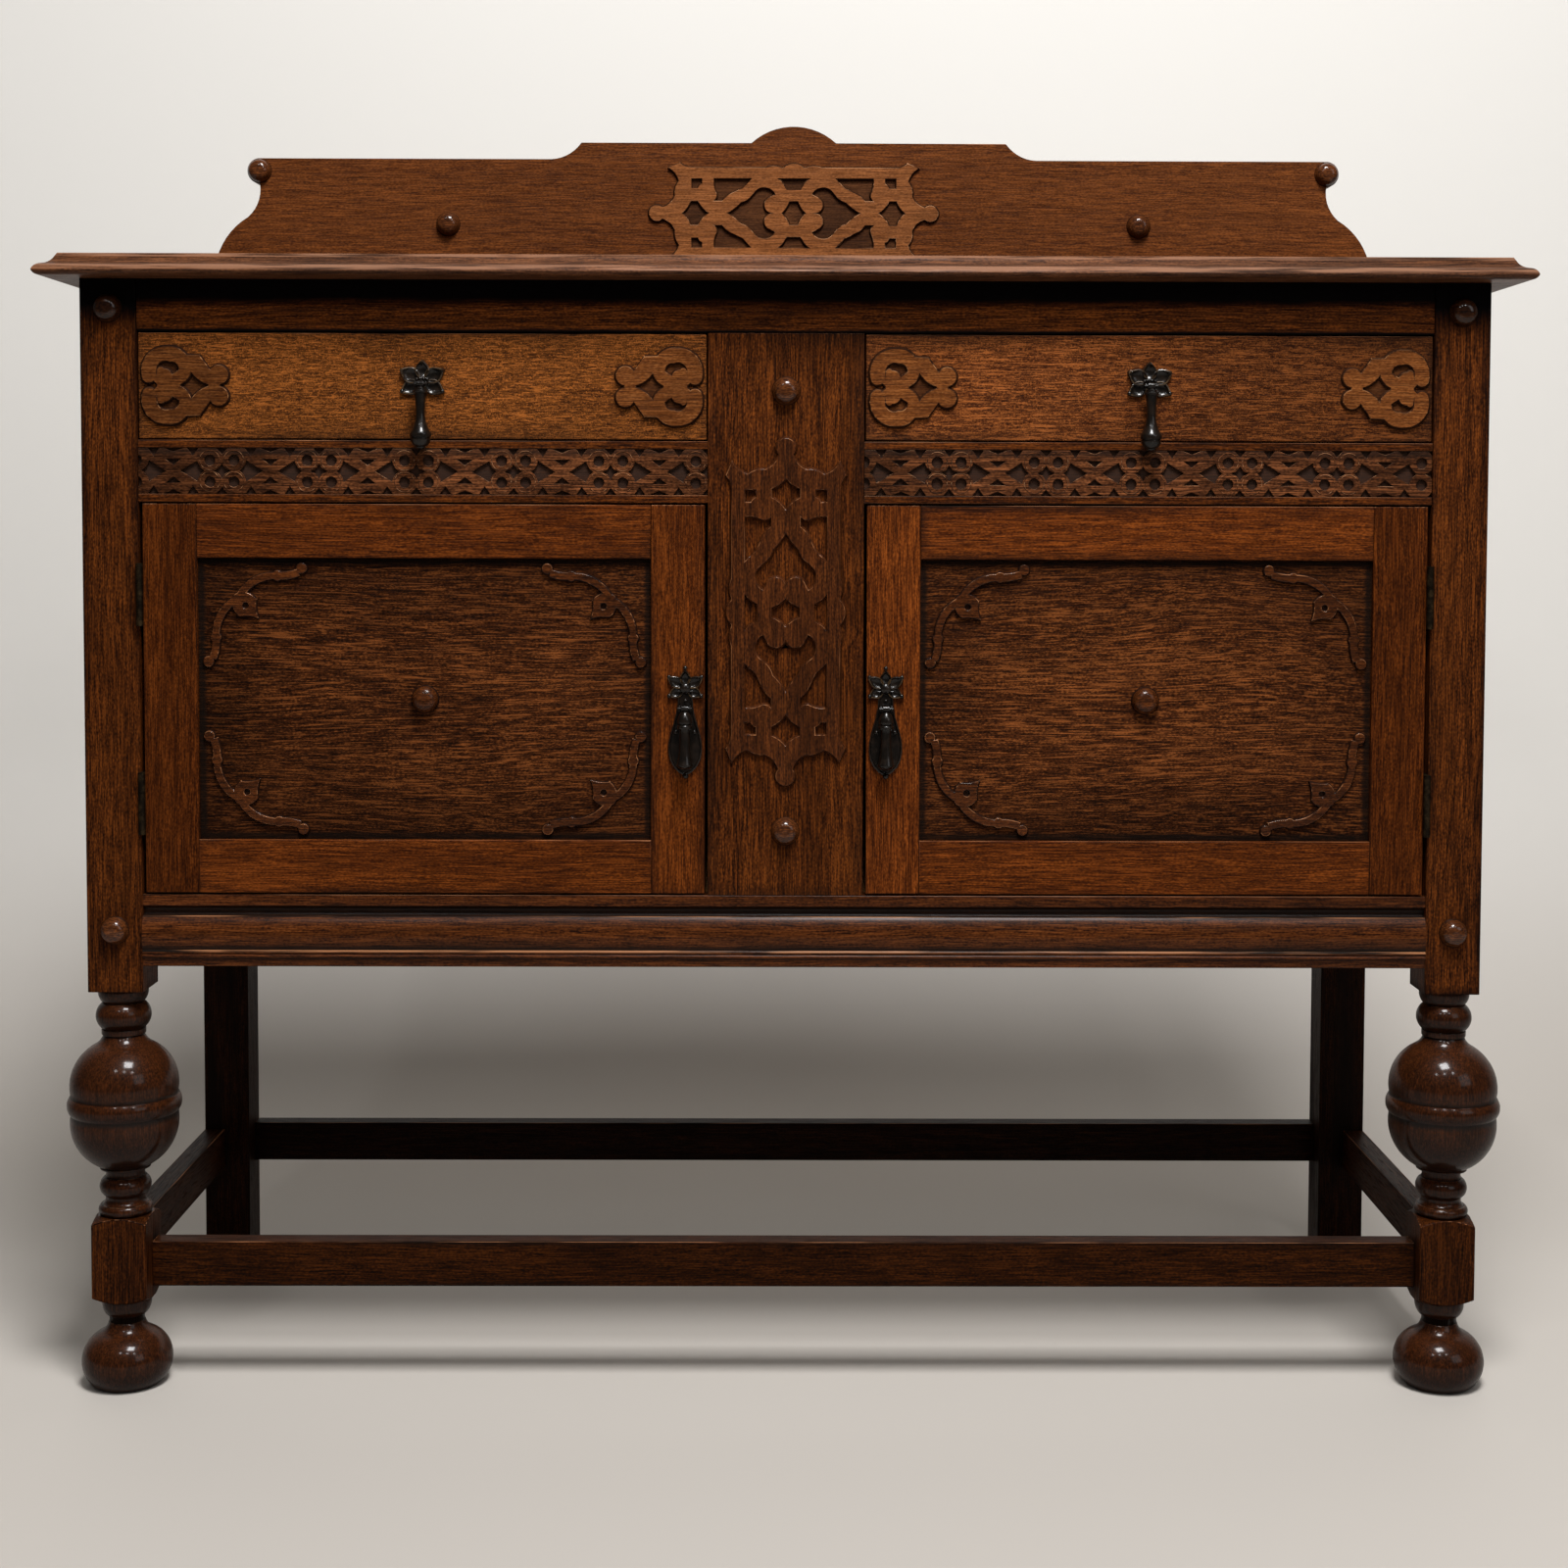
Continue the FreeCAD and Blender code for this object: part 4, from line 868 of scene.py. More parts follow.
    def place(self, made: BMesh, name: str, material: Material, body: str, slot: str,
              *nodes: str) -> Object:
        """Makes a finished piece of a mesh.

        Args:
            made: the mesh, in the part's frame; it is freed.
            name: the piece's name.
            material: its finish.
            body: the CAD body that it rides on.
            slot: the record's material slot; not used.
            nodes: the CAD nodes that it stands for.

        Returns:
            The object.
        """
        mesh = bpy.data.meshes.new(name)
        made.to_mesh(mesh)
        made.free()
        mesh.materials.append(material)
        mesh.polygons.foreach_set("use_smooth", [True] * len(mesh.polygons))
        mesh.set_sharp_from_angle(angle=self.smooth)
        piece = bpy.data.objects.new(name, mesh)
        bpy.context.scene.collection.objects.link(piece)
        even = piece.modifiers.new("even_normals", "WEIGHTED_NORMAL")
        even.keep_sharp = True
        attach(piece, body)
        if nodes:
            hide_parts(*nodes)
        log.info("%s: %d faces on %s", name, len(mesh.polygons), body)
        return piece

    def dress(self, made: BMesh, node: str, finish: OakFinish, grain: Grain, slot: str) -> Object:
        """Makes the finished piece that stands for one CAD node.

        Args:
            made: the mesh, in the part's frame; it is freed.
            node: the CAD node.
            finish: its oak finish.
            grain: the way its fibres run.
            slot: the record's material slot.

        Returns:
            The piece.
        """
        body = frame["nodes"][node]["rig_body"]
        return self.place(made, f"{node}_oak", self.palette.oak(finish, grain), body, slot, node)

    def board(self, node: str, finish: OakFinish, grain: Grain, slot: str, band: float = 9 * MM,
              tone: float | Points = 0.0, axis: int = 2, crevices: bool = True) -> Object:
        """Softens one CAD board and dresses it.

        Args:
            node: the CAD node.
            finish: its oak finish.
            grain: the way its fibres run.
            slot: the record's material slot.
            band: how far wear, dirt and painted shade reach inwards.
            tone: how much lighter or darker than its finish, or places along the axis and the tone at each.
            axis: the axis that the tone changes along.
            crevices: whether dirt and painted shade gather in its hollow corners.

        Returns:
            The piece.
        """
        made = self.copy_of(node)
        self.soften(made, self.arris, band, self.short_arris)
        if not crevices:
            self.mark(made, DIRT_AND_SHADE, lambda spot: 0.0)
        if isinstance(tone, tuple):
            self.fade(made, TONE, tone, axis)
        else:
            self.mark(made, TONE, lambda spot: tone)
        return self.dress(made, node, finish, grain, slot)

    def keep(self, node: str, material: Material) -> None:
        """Dresses a CAD node whose shape is right as it is."""
        piece = frame["nodes"][node]
        piece.data.materials.clear()
        piece.data.materials.append(material)
        log.info("%s keeps its CAD shape", node)


@dataclass
class Carcass:
    """The standing frame: legs, stretchers, rails, panels, pilaster and gallery.

    The shadows and the quirk lines are painted shade, given as heights with the darkness at each. Tones are
    how much lighter or darker than its finish a piece is, some with a height for each; the darker rear legs,
    stretchers, shaded studs and the undersides of the turnings are painted shade.
    """

    bench: Bench
    fret_foot: float = 1.4 * MM
    fret_arris: float = 0.5 * MM
    stud_foot: float = 1.1 * MM
    pilaster_foot: float = 1.54 * MM
    gallery_wax: float = 0.7
    field_level: float = -191.5 * MM
    # Painted shadows: the top's on the rail under it and down the posts, and painted shade in the gap over
    # the drawers.
    rail_shadow: Points = heights(
        (885, 1.0), (887, 0.9), (890, 0.0), (904, 0.0), (910, 0.55), (916, 1.0), (929, 1.0))
    post_shadow: Points = heights((882, 0.0), (898, 0.6), (912, 1.0), (929, 1.0))
    # Painted shade in the quirk lines of the bottom rail.
    quirks: Points = heights(
        (360, 0.1), (366, 0.1), (367, 0.8), (368.5, 0.0), (373, 0.0), (374.2, 1.0), (378, 0.35), (386, 0.0),
        (400, 0.0), (402.2, 1.0), (410, 1.0), (411, 0.0))
    pilaster_tones: Points = heights((600, -0.05), (760, -0.05), (830, 0.12), (886, 0.0))
    # Painted shade: the rear legs darker under the case, the stretchers darker low down and most at the back.
    rear_leg_tones: Points = heights((0, -0.8), (320, -0.8), (380, -0.15), (940, -0.15))
    stretcher_tone: float = -0.66
    rear_stretcher_tone: float = -0.85
    left_post_tone: float = -0.12
    block_tone: float = -0.5
    top_rail_tone: float = 0.2
    # Painted shade on the studs in the top's shadow.
    shaded_stud_tone: float = -0.6
    bead: Point = (370.5 * MM, 374 * MM)
    post_foot: float = 338 * MM
    block: tuple[float, float] = (74 * MM, 146 * MM)
    rim_slope: float = 0.995
    nose_arris: float = 2.2 * MM
    nose_bead: Point = (4.5 * MM, 9.0 * MM)
    # Painted shade on the turned legs: the more a face looks down, the darker.
    under_shade: float = 0.5
    full_light: float = 0.4

    def build(self) -> None:
        """Builds every fixed piece."""
        self._boards()
        self._top()
        self._turned_legs()
        self._friezes()
        self._top_rail()
        self._bottom_rail()
        self._frets()
        self._studs()
        self._inside()

    def _boards(self) -> None:
        """Softens the plain boards."""
        board = self.bench.board
        board("gallery_board", GALLERY, Grain.ACROSS, "oak_carcass", 0.0, crevices=False)
        # The stretchers and rear legs get painted shade through their tones.
        board("front_stretcher", STRETCHER, Grain.ACROSS, "oak_carcass", 6 * MM, self.stretcher_tone)
        board("rear_stretcher", CARCASS, Grain.ACROSS, "oak_carcass", 6 * MM, self.rear_stretcher_tone)
        board("centre_pilaster", CARCASS, Grain.UPRIGHT, "oak_carcass", 12 * MM, self.pilaster_tones)
        for side in Side:
            board(f"{side.word}_stretcher", STRETCHER, Grain.DEEP, "oak_carcass", 6 * MM, self.stretcher_tone)
            board(f"{side.word}_side_panel", PANEL, Grain.UPRIGHT, "oak_panel", 14 * MM)
            board(f"{side.word}_side_rails", CARCASS, Grain.DEEP, "oak_carcass")
            board(f"rear_{side.word}_leg", CARCASS, Grain.UPRIGHT, "oak_carcass", 9 * MM, self.rear_leg_tones)

    def _top(self) -> None:
        """Copies the top, whose moulded rim is round already, and marks the rim's upper arris and its bead
        pale, as wear and painted highlight.
        """
        made = self.bench.copy_of("top_board")
        lowest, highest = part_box("top_board")
        low, high = self.nose_bead
        for face in made.faces:
            height = face.calc_center_median().z
            if abs(face.normal.z) < self.rim_slope:
                rubbed = height > highest.z - self.nose_arris or low < height - lowest.z < high
                self.bench.rub(made, [face], 1.0 if rubbed and abs(face.normal.x) < 0.5 else 0.5)
        self.bench.dress(made, "top_board", TOP, Grain.ACROSS, "oak_top")

    def _turned_legs(self) -> None:
        """Softens the front legs, with one finish on their square parts and another on the turned ones."""
        for side in Side:
            node = f"front_{side.word}_leg"
            made = self.bench.copy_of(node)
            self.bench.soften(made, self.bench.fine_arris, 9 * MM)
            # The top's shadow down the posts is painted.
            self.bench.fade(made, DIRT_AND_SHADE, self.post_shadow)
            piece = self.bench.dress(made, node, SHADOWED_OAK, Grain.UPRIGHT, "oak_turned")
            piece.data.materials.append(self.bench.palette.oak(TURNED, Grain.UPRIGHT))
            tone = piece.data.attributes[TONE].data
            for face in piece.data.polygons:
                square = self.block[0] < face.center.z < self.block[1]
                face.material_index = 0 if square or face.center.z > self.post_foot else 1
                for corner in face.vertices:
                    if square:
                        tone[corner].value = self.block_tone
                    elif face.center.z > self.post_foot:
                        tone[corner].value = self.left_post_tone if side is Side.LEFT else 0.0
                    else:
                        # Painted shade: darker where the turning faces down.
                        up = piece.data.vertices[corner].normal.z
                        tone[corner].value = self.under_shade * (up - self.full_light)

    def _friezes(self) -> None:
        """Softens the two frieze rails, blackens their sunk fields and lays the lattice in them."""
        for side in Side:
            node = f"{side.word}_frieze_rail"
            made = self.bench.copy_of(node)
            self.bench.soften(made, self.bench.fine_arris, 0.0)
            grime = made.verts.layers.float[DIRT_AND_SHADE]
            # The sunk field behind the lattice gets dirt and painted shade.
            for corner in made.verts:
                if abs(corner.co.y - self.field_level) < 0.2 * MM:
                    corner[grime] = 1.0
            self.bench.dress(made, node, FIELD, Grain.ACROSS, "oak_carcass")
            FriezeLattice(self.bench, side).build()

    def _top_rail(self) -> None:
        """Softens the rail under the top, with painted shade in the gap over the drawers and the top's
        painted shadow.
        """
        made = self.bench.copy_of("top_front_rail")
        self.bench.soften(made, self.bench.fine_arris, 0.0)
        self.bench.rub(made, made.faces, 0.0)
        # Painted shade over the drawers and the top's painted shadow.
        self.bench.fade(made, DIRT_AND_SHADE, self.rail_shadow)
        self.bench.mark(made, TONE, lambda spot: self.top_rail_tone)
        self.bench.dress(made, "top_front_rail", SHADOWED_OAK, Grain.ACROSS, "oak_carcass")

    def _bottom_rail(self) -> None:
        """Softens the moulded bottom rail, with painted shade in its quirk lines and a painted highlight on
        its bead.
        """
        made = self.bench.copy_of("bottom_front_rail")
        self.bench.soften(made, self.bench.fine_arris, 0.0, self.bench.short_arris)
        self.bench.mark(made, DIRT_AND_SHADE, lambda spot: 0.0)
        # Painted shade in the quirk lines.
        self.bench.fade(made, DIRT_AND_SHADE, self.quirks)
        # Painted highlight on the upper faces of the bead.
        low, high = self.bead
        self.bench.rub(made, [face for face in made.faces
                              if low < face.calc_center_median().z < high and face.normal.z > 0.1])
        self.bench.dress(made, "bottom_front_rail", RAIL, Grain.ACROSS, "oak_carcass")

    def _frets(self) -> None:
        """Softens the strapwork of the gallery and of the pilaster."""
        for node, finish, grain, foot, opening_shade in (
                ("gallery_fret", CARVING, Grain.ACROSS, self.fret_foot, self.gallery_wax),
                ("pilaster_fret", PILASTER_CARVING, Grain.UPRIGHT, self.pilaster_foot, 0.0)):
            made = self.bench.plate(node, foot, self.fret_arris, opening_shade)
            self.bench.dress(made, node, finish, grain, "oak_carving")

    def _studs(self) -> None:
        """Widens the feet of the turned studs on the carcass and the gallery into dark rings of painted
        shade.
        """
        for node in ("carcass_studs", "gallery_studs"):
            made = self.bench.copy_of(node)
            for group in self._apart(made):
                foot = max(corner.co.y for corner in group)
                middle = sum((corner.co for corner in group), Vector()) / len(group)
                # Studs in the top's shadow get painted shade.
                shaded = self.post_shadow[0][0] < middle.z < self.post_shadow[-1][0]
                for corner in group:
                    corner[made.verts.layers.float[TONE]] = self.shaded_stud_tone if shaded else 0.0
                    # Each foot widens into a dark ring, painted shade where the stud meets the board.
                    if corner.co.y > foot - self.bench.foot_depth:
                        corner[made.verts.layers.float[DIRT_AND_SHADE]] = 1.0
                        out = (corner.co - middle) * Vector((1, 0, 1))
                        corner.co += out.normalized() * self.stud_foot
            self.bench.dress(made, node, STUD, Grain.ACROSS, "oak_turned")

    @staticmethod
    def _apart(made: BMesh) -> list[list[BMVert]]:
        """Sorts a mesh's corners by the solid that they belong to.

        Args:
            made: the mesh.

        Returns:
            The corners of each solid.
        """
        left, groups = set(made.verts), []
        while left:
            group, ahead = [], [left.pop()]
            while ahead:
                corner = ahead.pop()
                group.append(corner)
                near = {line.other_vert(corner) for line in corner.link_edges} & left
                left -= near
                ahead.extend(near)
            groups.append(group)
        return groups

    def _inside(self) -> None:
        """Dresses what stands behind the doors and at the back."""
        bare = self.bench.palette.oak(INNER, Grain.ACROSS)
        for node in ("back_panel", "back_rails", "bottom_board"):
            self.bench.keep(node, bare)
        for node in ("centre_division", "drawer_runners"):
            self.bench.keep(node, self.bench.palette.oak(INNER, Grain.DEEP))
        for node in ("hinge_frame_leaves", "door_catches"):
            self.bench.keep(node, self.bench.palette.metal(HINGE_BRASS))


@dataclass
class FriezeLattice:
    """The carved lattice in one frieze: groups of four rings between crossed straps.

    Sizes are in millimetres, but the tones have places along X in metres.
    """

    bench: Bench
    side: Side
    middle: float = 771.5
    half_height: float = 18.9
    ground: float = -191.3
    face: float = -194.2
    period: float = 80.1
    groups: int = 8
    inner_end: float = 64.6
    outer_end: float = 533.9
    ring_place: Point = (9.9, 8.9)
    ring_hole: float = 4.5
    ring_points: int = 14
    hand: float = 0.22
    seed: int = 31
    first_left: float = 64.5
    first_right: float = 54.6
    arris: float = 0.45
    foot: float = 0.5
    bead_wear: float = 0.85
    # Painted shadow of the rail's lip over the top of the lattice.
    dusty: Points = ((9.5, 0.0), (15.0, 0.6))
    ring_bead: Points = ((7.6, -0.3), (7.8, 0.25), (8.1, 0.35), (8.4, 0.25), (8.6, -0.3), (7.6, -0.3))
    left_tones: Points = ((-0.50, -0.5), (-0.43, -0.45), (-0.37, 0.0), (-0.13, 0.0), (-0.075, -0.4))
    right_tones: Points = ((0.07, -0.5), (0.10, -0.3), (0.16, 0.0), (0.46, 0.0), (0.50, -0.45))
    rim: Points = (
        (-40.05, 15.6), (-32.0, 18.9), (-28.4, 18.9), (-24.0, 12.4), (-19.2, 18.9), (-4.6, 18.9), (0.0, 13.6),
        (4.6, 18.9), (19.2, 18.9), (24.0, 12.4), (28.4, 18.9), (32.0, 18.9))
    kite: Points = (
        (14.4, 0.0), (17.4, 2.6), (19.3, 5.6), (20.2, 8.4), (27.4, 4.0), (33.9, 0.0), (27.4, -4.0),
        (20.2, -8.4), (19.3, -5.6), (17.4, -2.6))
    diamond: Points = (
        (7.2, 0.0), (2.6, 2.2), (0.0, 6.0), (-2.6, 2.2), (-7.2, 0.0), (-2.6, -2.2), (0.0, -6.0), (2.6, -2.2))
    wedge: Points = ((-6.4, 9.9), (0.0, 4.9), (6.4, 9.9))

    def tone(self, spot: Vector) -> float:
        """How much lighter or darker than its finish the lattice is at a place."""
        return between(self.left_tones if self.side is Side.LEFT else self.right_tones, spot.x)

    def build(self) -> Object:
        """Cuts the lattice of one rail.

        Returns:
            The piece.
        """
        dice = random.Random(self.seed + self.side.value)
        first = self.first_left if self.side is Side.LEFT else self.first_right
        centres = [self.side.value * (first + self.period * count) for count in range(self.groups)]
        centres.sort()
        made = self.bench.blank()
        upper = [(centre + u, v) for centre in centres for u, v in self.rim]
        upper.append((centres[-1] + self.period / 2, self.rim[0][1]))
        lines = self._loop(made, upper + [(u, -v) for u, v in reversed(upper)], dice)
        for centre in centres:
            for hole in self._holes():
                lines += self._loop(made, [(centre + u, v) for u, v in hole], dice)
        bmesh.ops.triangle_fill(made, use_beauty=True, edges=lines, normal=(0, -1, 0))
        ends = sorted((self.side.value * self.inner_end * MM, self.side.value * self.outer_end * MM))
        for x, outward in zip(ends, (-1, 1)):
            self.bench.cut(made, Vector((x, 0, 0)), Vector((outward, 0, 0)), clear=True)
        bmesh.ops.recalc_face_normals(made, faces=made.faces)
        self.bench.deepen(made, made.faces[:], (self.ground - self.face) * MM)
        self.bench.soften(made, self.arris * MM, 0.0)
        self.bench.mark(made, DIRT_AND_SHADE, lambda spot: 0.0)
        # Painted shadow under the rail's lip.
        self.bench.fade(made, DIRT_AND_SHADE, heights(*((self.middle + up, dirt) for up, dirt in self.dusty)))
        self.bench.mark(made, TONE, self.tone)
        # The walls and back of the lattice get dirt and painted shade.
        grime = made.verts.layers.float[DIRT_AND_SHADE]
        for corner in made.verts:
            if corner.co.y > (self.face + self.foot) * MM:
                corner[grime] = 1.0
        for centre in centres:
            self._ring_beads(made, centre, ends)
        return self.bench.place(made, f"{self.side.word}_frieze_lattice",
                                self.bench.palette.oak(FRIEZE, Grain.ACROSS), "carcass", "oak_carving")

    def _ring_beads(self, made: BMesh, centre: float, ends: list[float]) -> None:
        """Runs a thin bead round each ring of one group that the field does not cut.

        Args:
            made: the lattice, which gets the beads.
            centre: the group's middle along X, in millimetres.
            ends: the field's ends along X, in metres.
        """
        profile = metres(self.ring_bead)
        for along in (-1, 1):
            x = (centre + along * self.ring_place[0]) * MM
            if not ends[0] < x - profile[-2][0] or not x + profile[-2][0] < ends[1]:
                continue
            for up in (-1, 1):
                spot = Vector((x, self.face * MM, (self.middle + up * self.ring_place[1]) * MM))
                bead = self.bench.lathe(profile, spot, Vector((0, -1, 0)))
                self.bench.mark(bead, TONE, self.tone)
                # Painted highlight on the faces of the bead that look up.
                facing_up = [face for face in bead.faces if face.normal.z - face.normal.y > 0.9]
                self.bench.rub(bead, facing_up, self.bead_wear)
                self.bench.join(made, bead)

    def _holes(self) -> list[Iterable[Point]]:
        """Outlines of every opening of one group, round the group's middle."""
        half = self.period / 2
        holes = [self.diamond, self.kite, [(-u, v) for u, v in self.kite]]
        holes += [[(half + u, sign * v) for u, v in self.wedge] for sign in (1, -1)]
        for along in (-1, 1):
            for up in (-1, 1):
                spots = [2 * math.pi * count / self.ring_points for count in range(self.ring_points)]
                holes.append([(along * self.ring_place[0] + self.ring_hole * math.cos(turn),
                               up * self.ring_place[1] + self.ring_hole * math.sin(turn)) for turn in spots])
        return holes

    def _loop(self, made: BMesh, outline: list[Point], dice: random.Random) -> list:
        """Adds one closed outline, a little uneven as a hand cuts it.

        Args:
            made: the mesh.
            outline: the points along the rail and across it, in millimetres.
            dice: where the unevenness comes from.

        Returns:
            Its edges.
        """
        corners = []
        for u, v in outline:
            across = max(-self.half_height, min(self.half_height, v + dice.uniform(-self.hand, self.hand)))
            along = u + dice.uniform(-self.hand, self.hand)
            corners.append(made.verts.new((along * MM, self.face * MM, (self.middle + across) * MM)))
        return [made.edges.new(pair) for pair in zip(corners, corners[1:] + corners[:1])]


@dataclass
class Drawer:
    """One drawer: its front, its carved ends and its bare box."""

    bench: Bench
    side: Side
    right_shade: Points = ((0.22, 0.0), (0.36, -0.42), (0.53, -0.42))
    fret_foot: float = 1.5 * MM
    fret_arris: float = 0.5 * MM
    fret_wax: float = 0.6
    fret_tone: float = -0.08
    far_left: float = -400 * MM
    far_left_tone: float = -0.42

    def build(self) -> None:
        """Builds the drawer's pieces."""
        body = f"{self.side.word}_drawer"
        golden = self.side is Side.LEFT
        finish, shade = (FRONT_LEFT, 0.0) if golden else (FRONT_RIGHT, self.right_shade)
        self.bench.board(f"{body}_front", finish, Grain.ACROSS, "oak_front", 14 * MM, shade, 0)
        node = f"{body}_end_frets"
        made = self.bench.plate(node, self.fret_foot, self.fret_arris, self.fret_wax)
        self.bench.mark(made, TONE,
                        lambda spot: self.far_left_tone if spot.x < self.far_left else self.fret_tone)
        self.bench.dress(made, node, END_CARVING, Grain.ACROSS, "oak_carving")
        for piece, grain in (("sides", Grain.DEEP), ("back", Grain.ACROSS), ("bottom", Grain.ACROSS)):
            self.bench.keep(f"{body}_{piece}", self.bench.palette.oak(INNER, grain))
        DrawerHandle(self.bench, body).build()


@dataclass(frozen=True)
class DoorTones:
    """How much lighter or darker than their finish the parts of a door are.

    The slope is how much lighter the panel's right side is than its middle, and how much darker its left, as
    painted light.
    """

    hinge_stile: float
    lock_stile: float
    rails: float
    panel: float
    slope: float


DOOR_TONES = {Side.LEFT: DoorTones(-0.42, -0.18, -0.08, -0.08, 0.16),
              Side.RIGHT: DoorTones(-0.36, 0.108, 0.04, 0.04, 0.0)}


@dataclass
class Door:
    """One door: its frame, its sunk panel and the scrolls on it."""

    bench: Bench
    side: Side
    band: float = 10 * MM
    panel_rims: Points = heights((9, 1.0), (5, 0.0), (64, 0.0))
    panel_shade: float = 0.4
    scroll_foot: float = 0.9 * MM
    scroll_arris: float = 0.6 * MM
    scroll_wax: float = 0.6

    def build(self) -> None:
        """Builds the door's pieces."""
        body, tones = f"{self.side.word}_door", DOOR_TONES[self.side]
        board = self.bench.board
        board(f"{body}_hinge_stile", FRAME, Grain.UPRIGHT, "oak_carcass", self.band, tones.hinge_stile)
        board(f"{body}_lock_stile", FRAME, Grain.UPRIGHT, "oak_carcass", self.band, tones.lock_stile)
        board(f"{body}_rails", FRAME, Grain.ACROSS, "oak_carcass", self.band, tones.rails)
        self._panel(f"{body}_panel", tones)
        node = f"{body}_ornament"
        made = self.bench.plate(node, self.scroll_foot, self.scroll_arris, self.scroll_wax)
        self.bench.dress(made, node, LOW_CARVING, Grain.ACROSS, "oak_carving")
        self.bench.keep(f"{body}_hinge_leaves", self.bench.palette.metal(HINGE_BRASS))
        DoorHandle(self.bench, body).build()

    def _panel(self, node: str, tones: DoorTones) -> None:
        """Dresses the sunk panel, darker towards the frame with built-up polish, dirt and painted shade.

        Args:
            node: the CAD node.
            tones: the door's tones.
        """
        made = self.bench.copy_of(node)
        front = min(made.faces, key=lambda face: face.calc_center_median().y)
        grime, layer = made.verts.layers.float[DIRT_AND_SHADE], made.verts.layers.float[TONE]
        # Rings along the frame get dirt and painted shade.
        for width, dirt in self.panel_rims:
            bmesh.ops.inset_region(made, faces=[front], thickness=width, use_even_offset=True)
            for corner in front.verts:
                corner[grime] = dirt
        middle = set(front.verts)
        # Painted light: lighter to the right and darker to the left; the rim is darker with dirt and painted
        # shade.
        for corner in made.verts:
            level = tones.slope if corner.co.x > front.calc_center_median().x else -tones.slope
            corner[layer] = tones.panel + level - (0.0 if corner in middle else self.panel_shade)
        self.bench.dress(made, node, PANEL, Grain.ACROSS, "oak_panel")


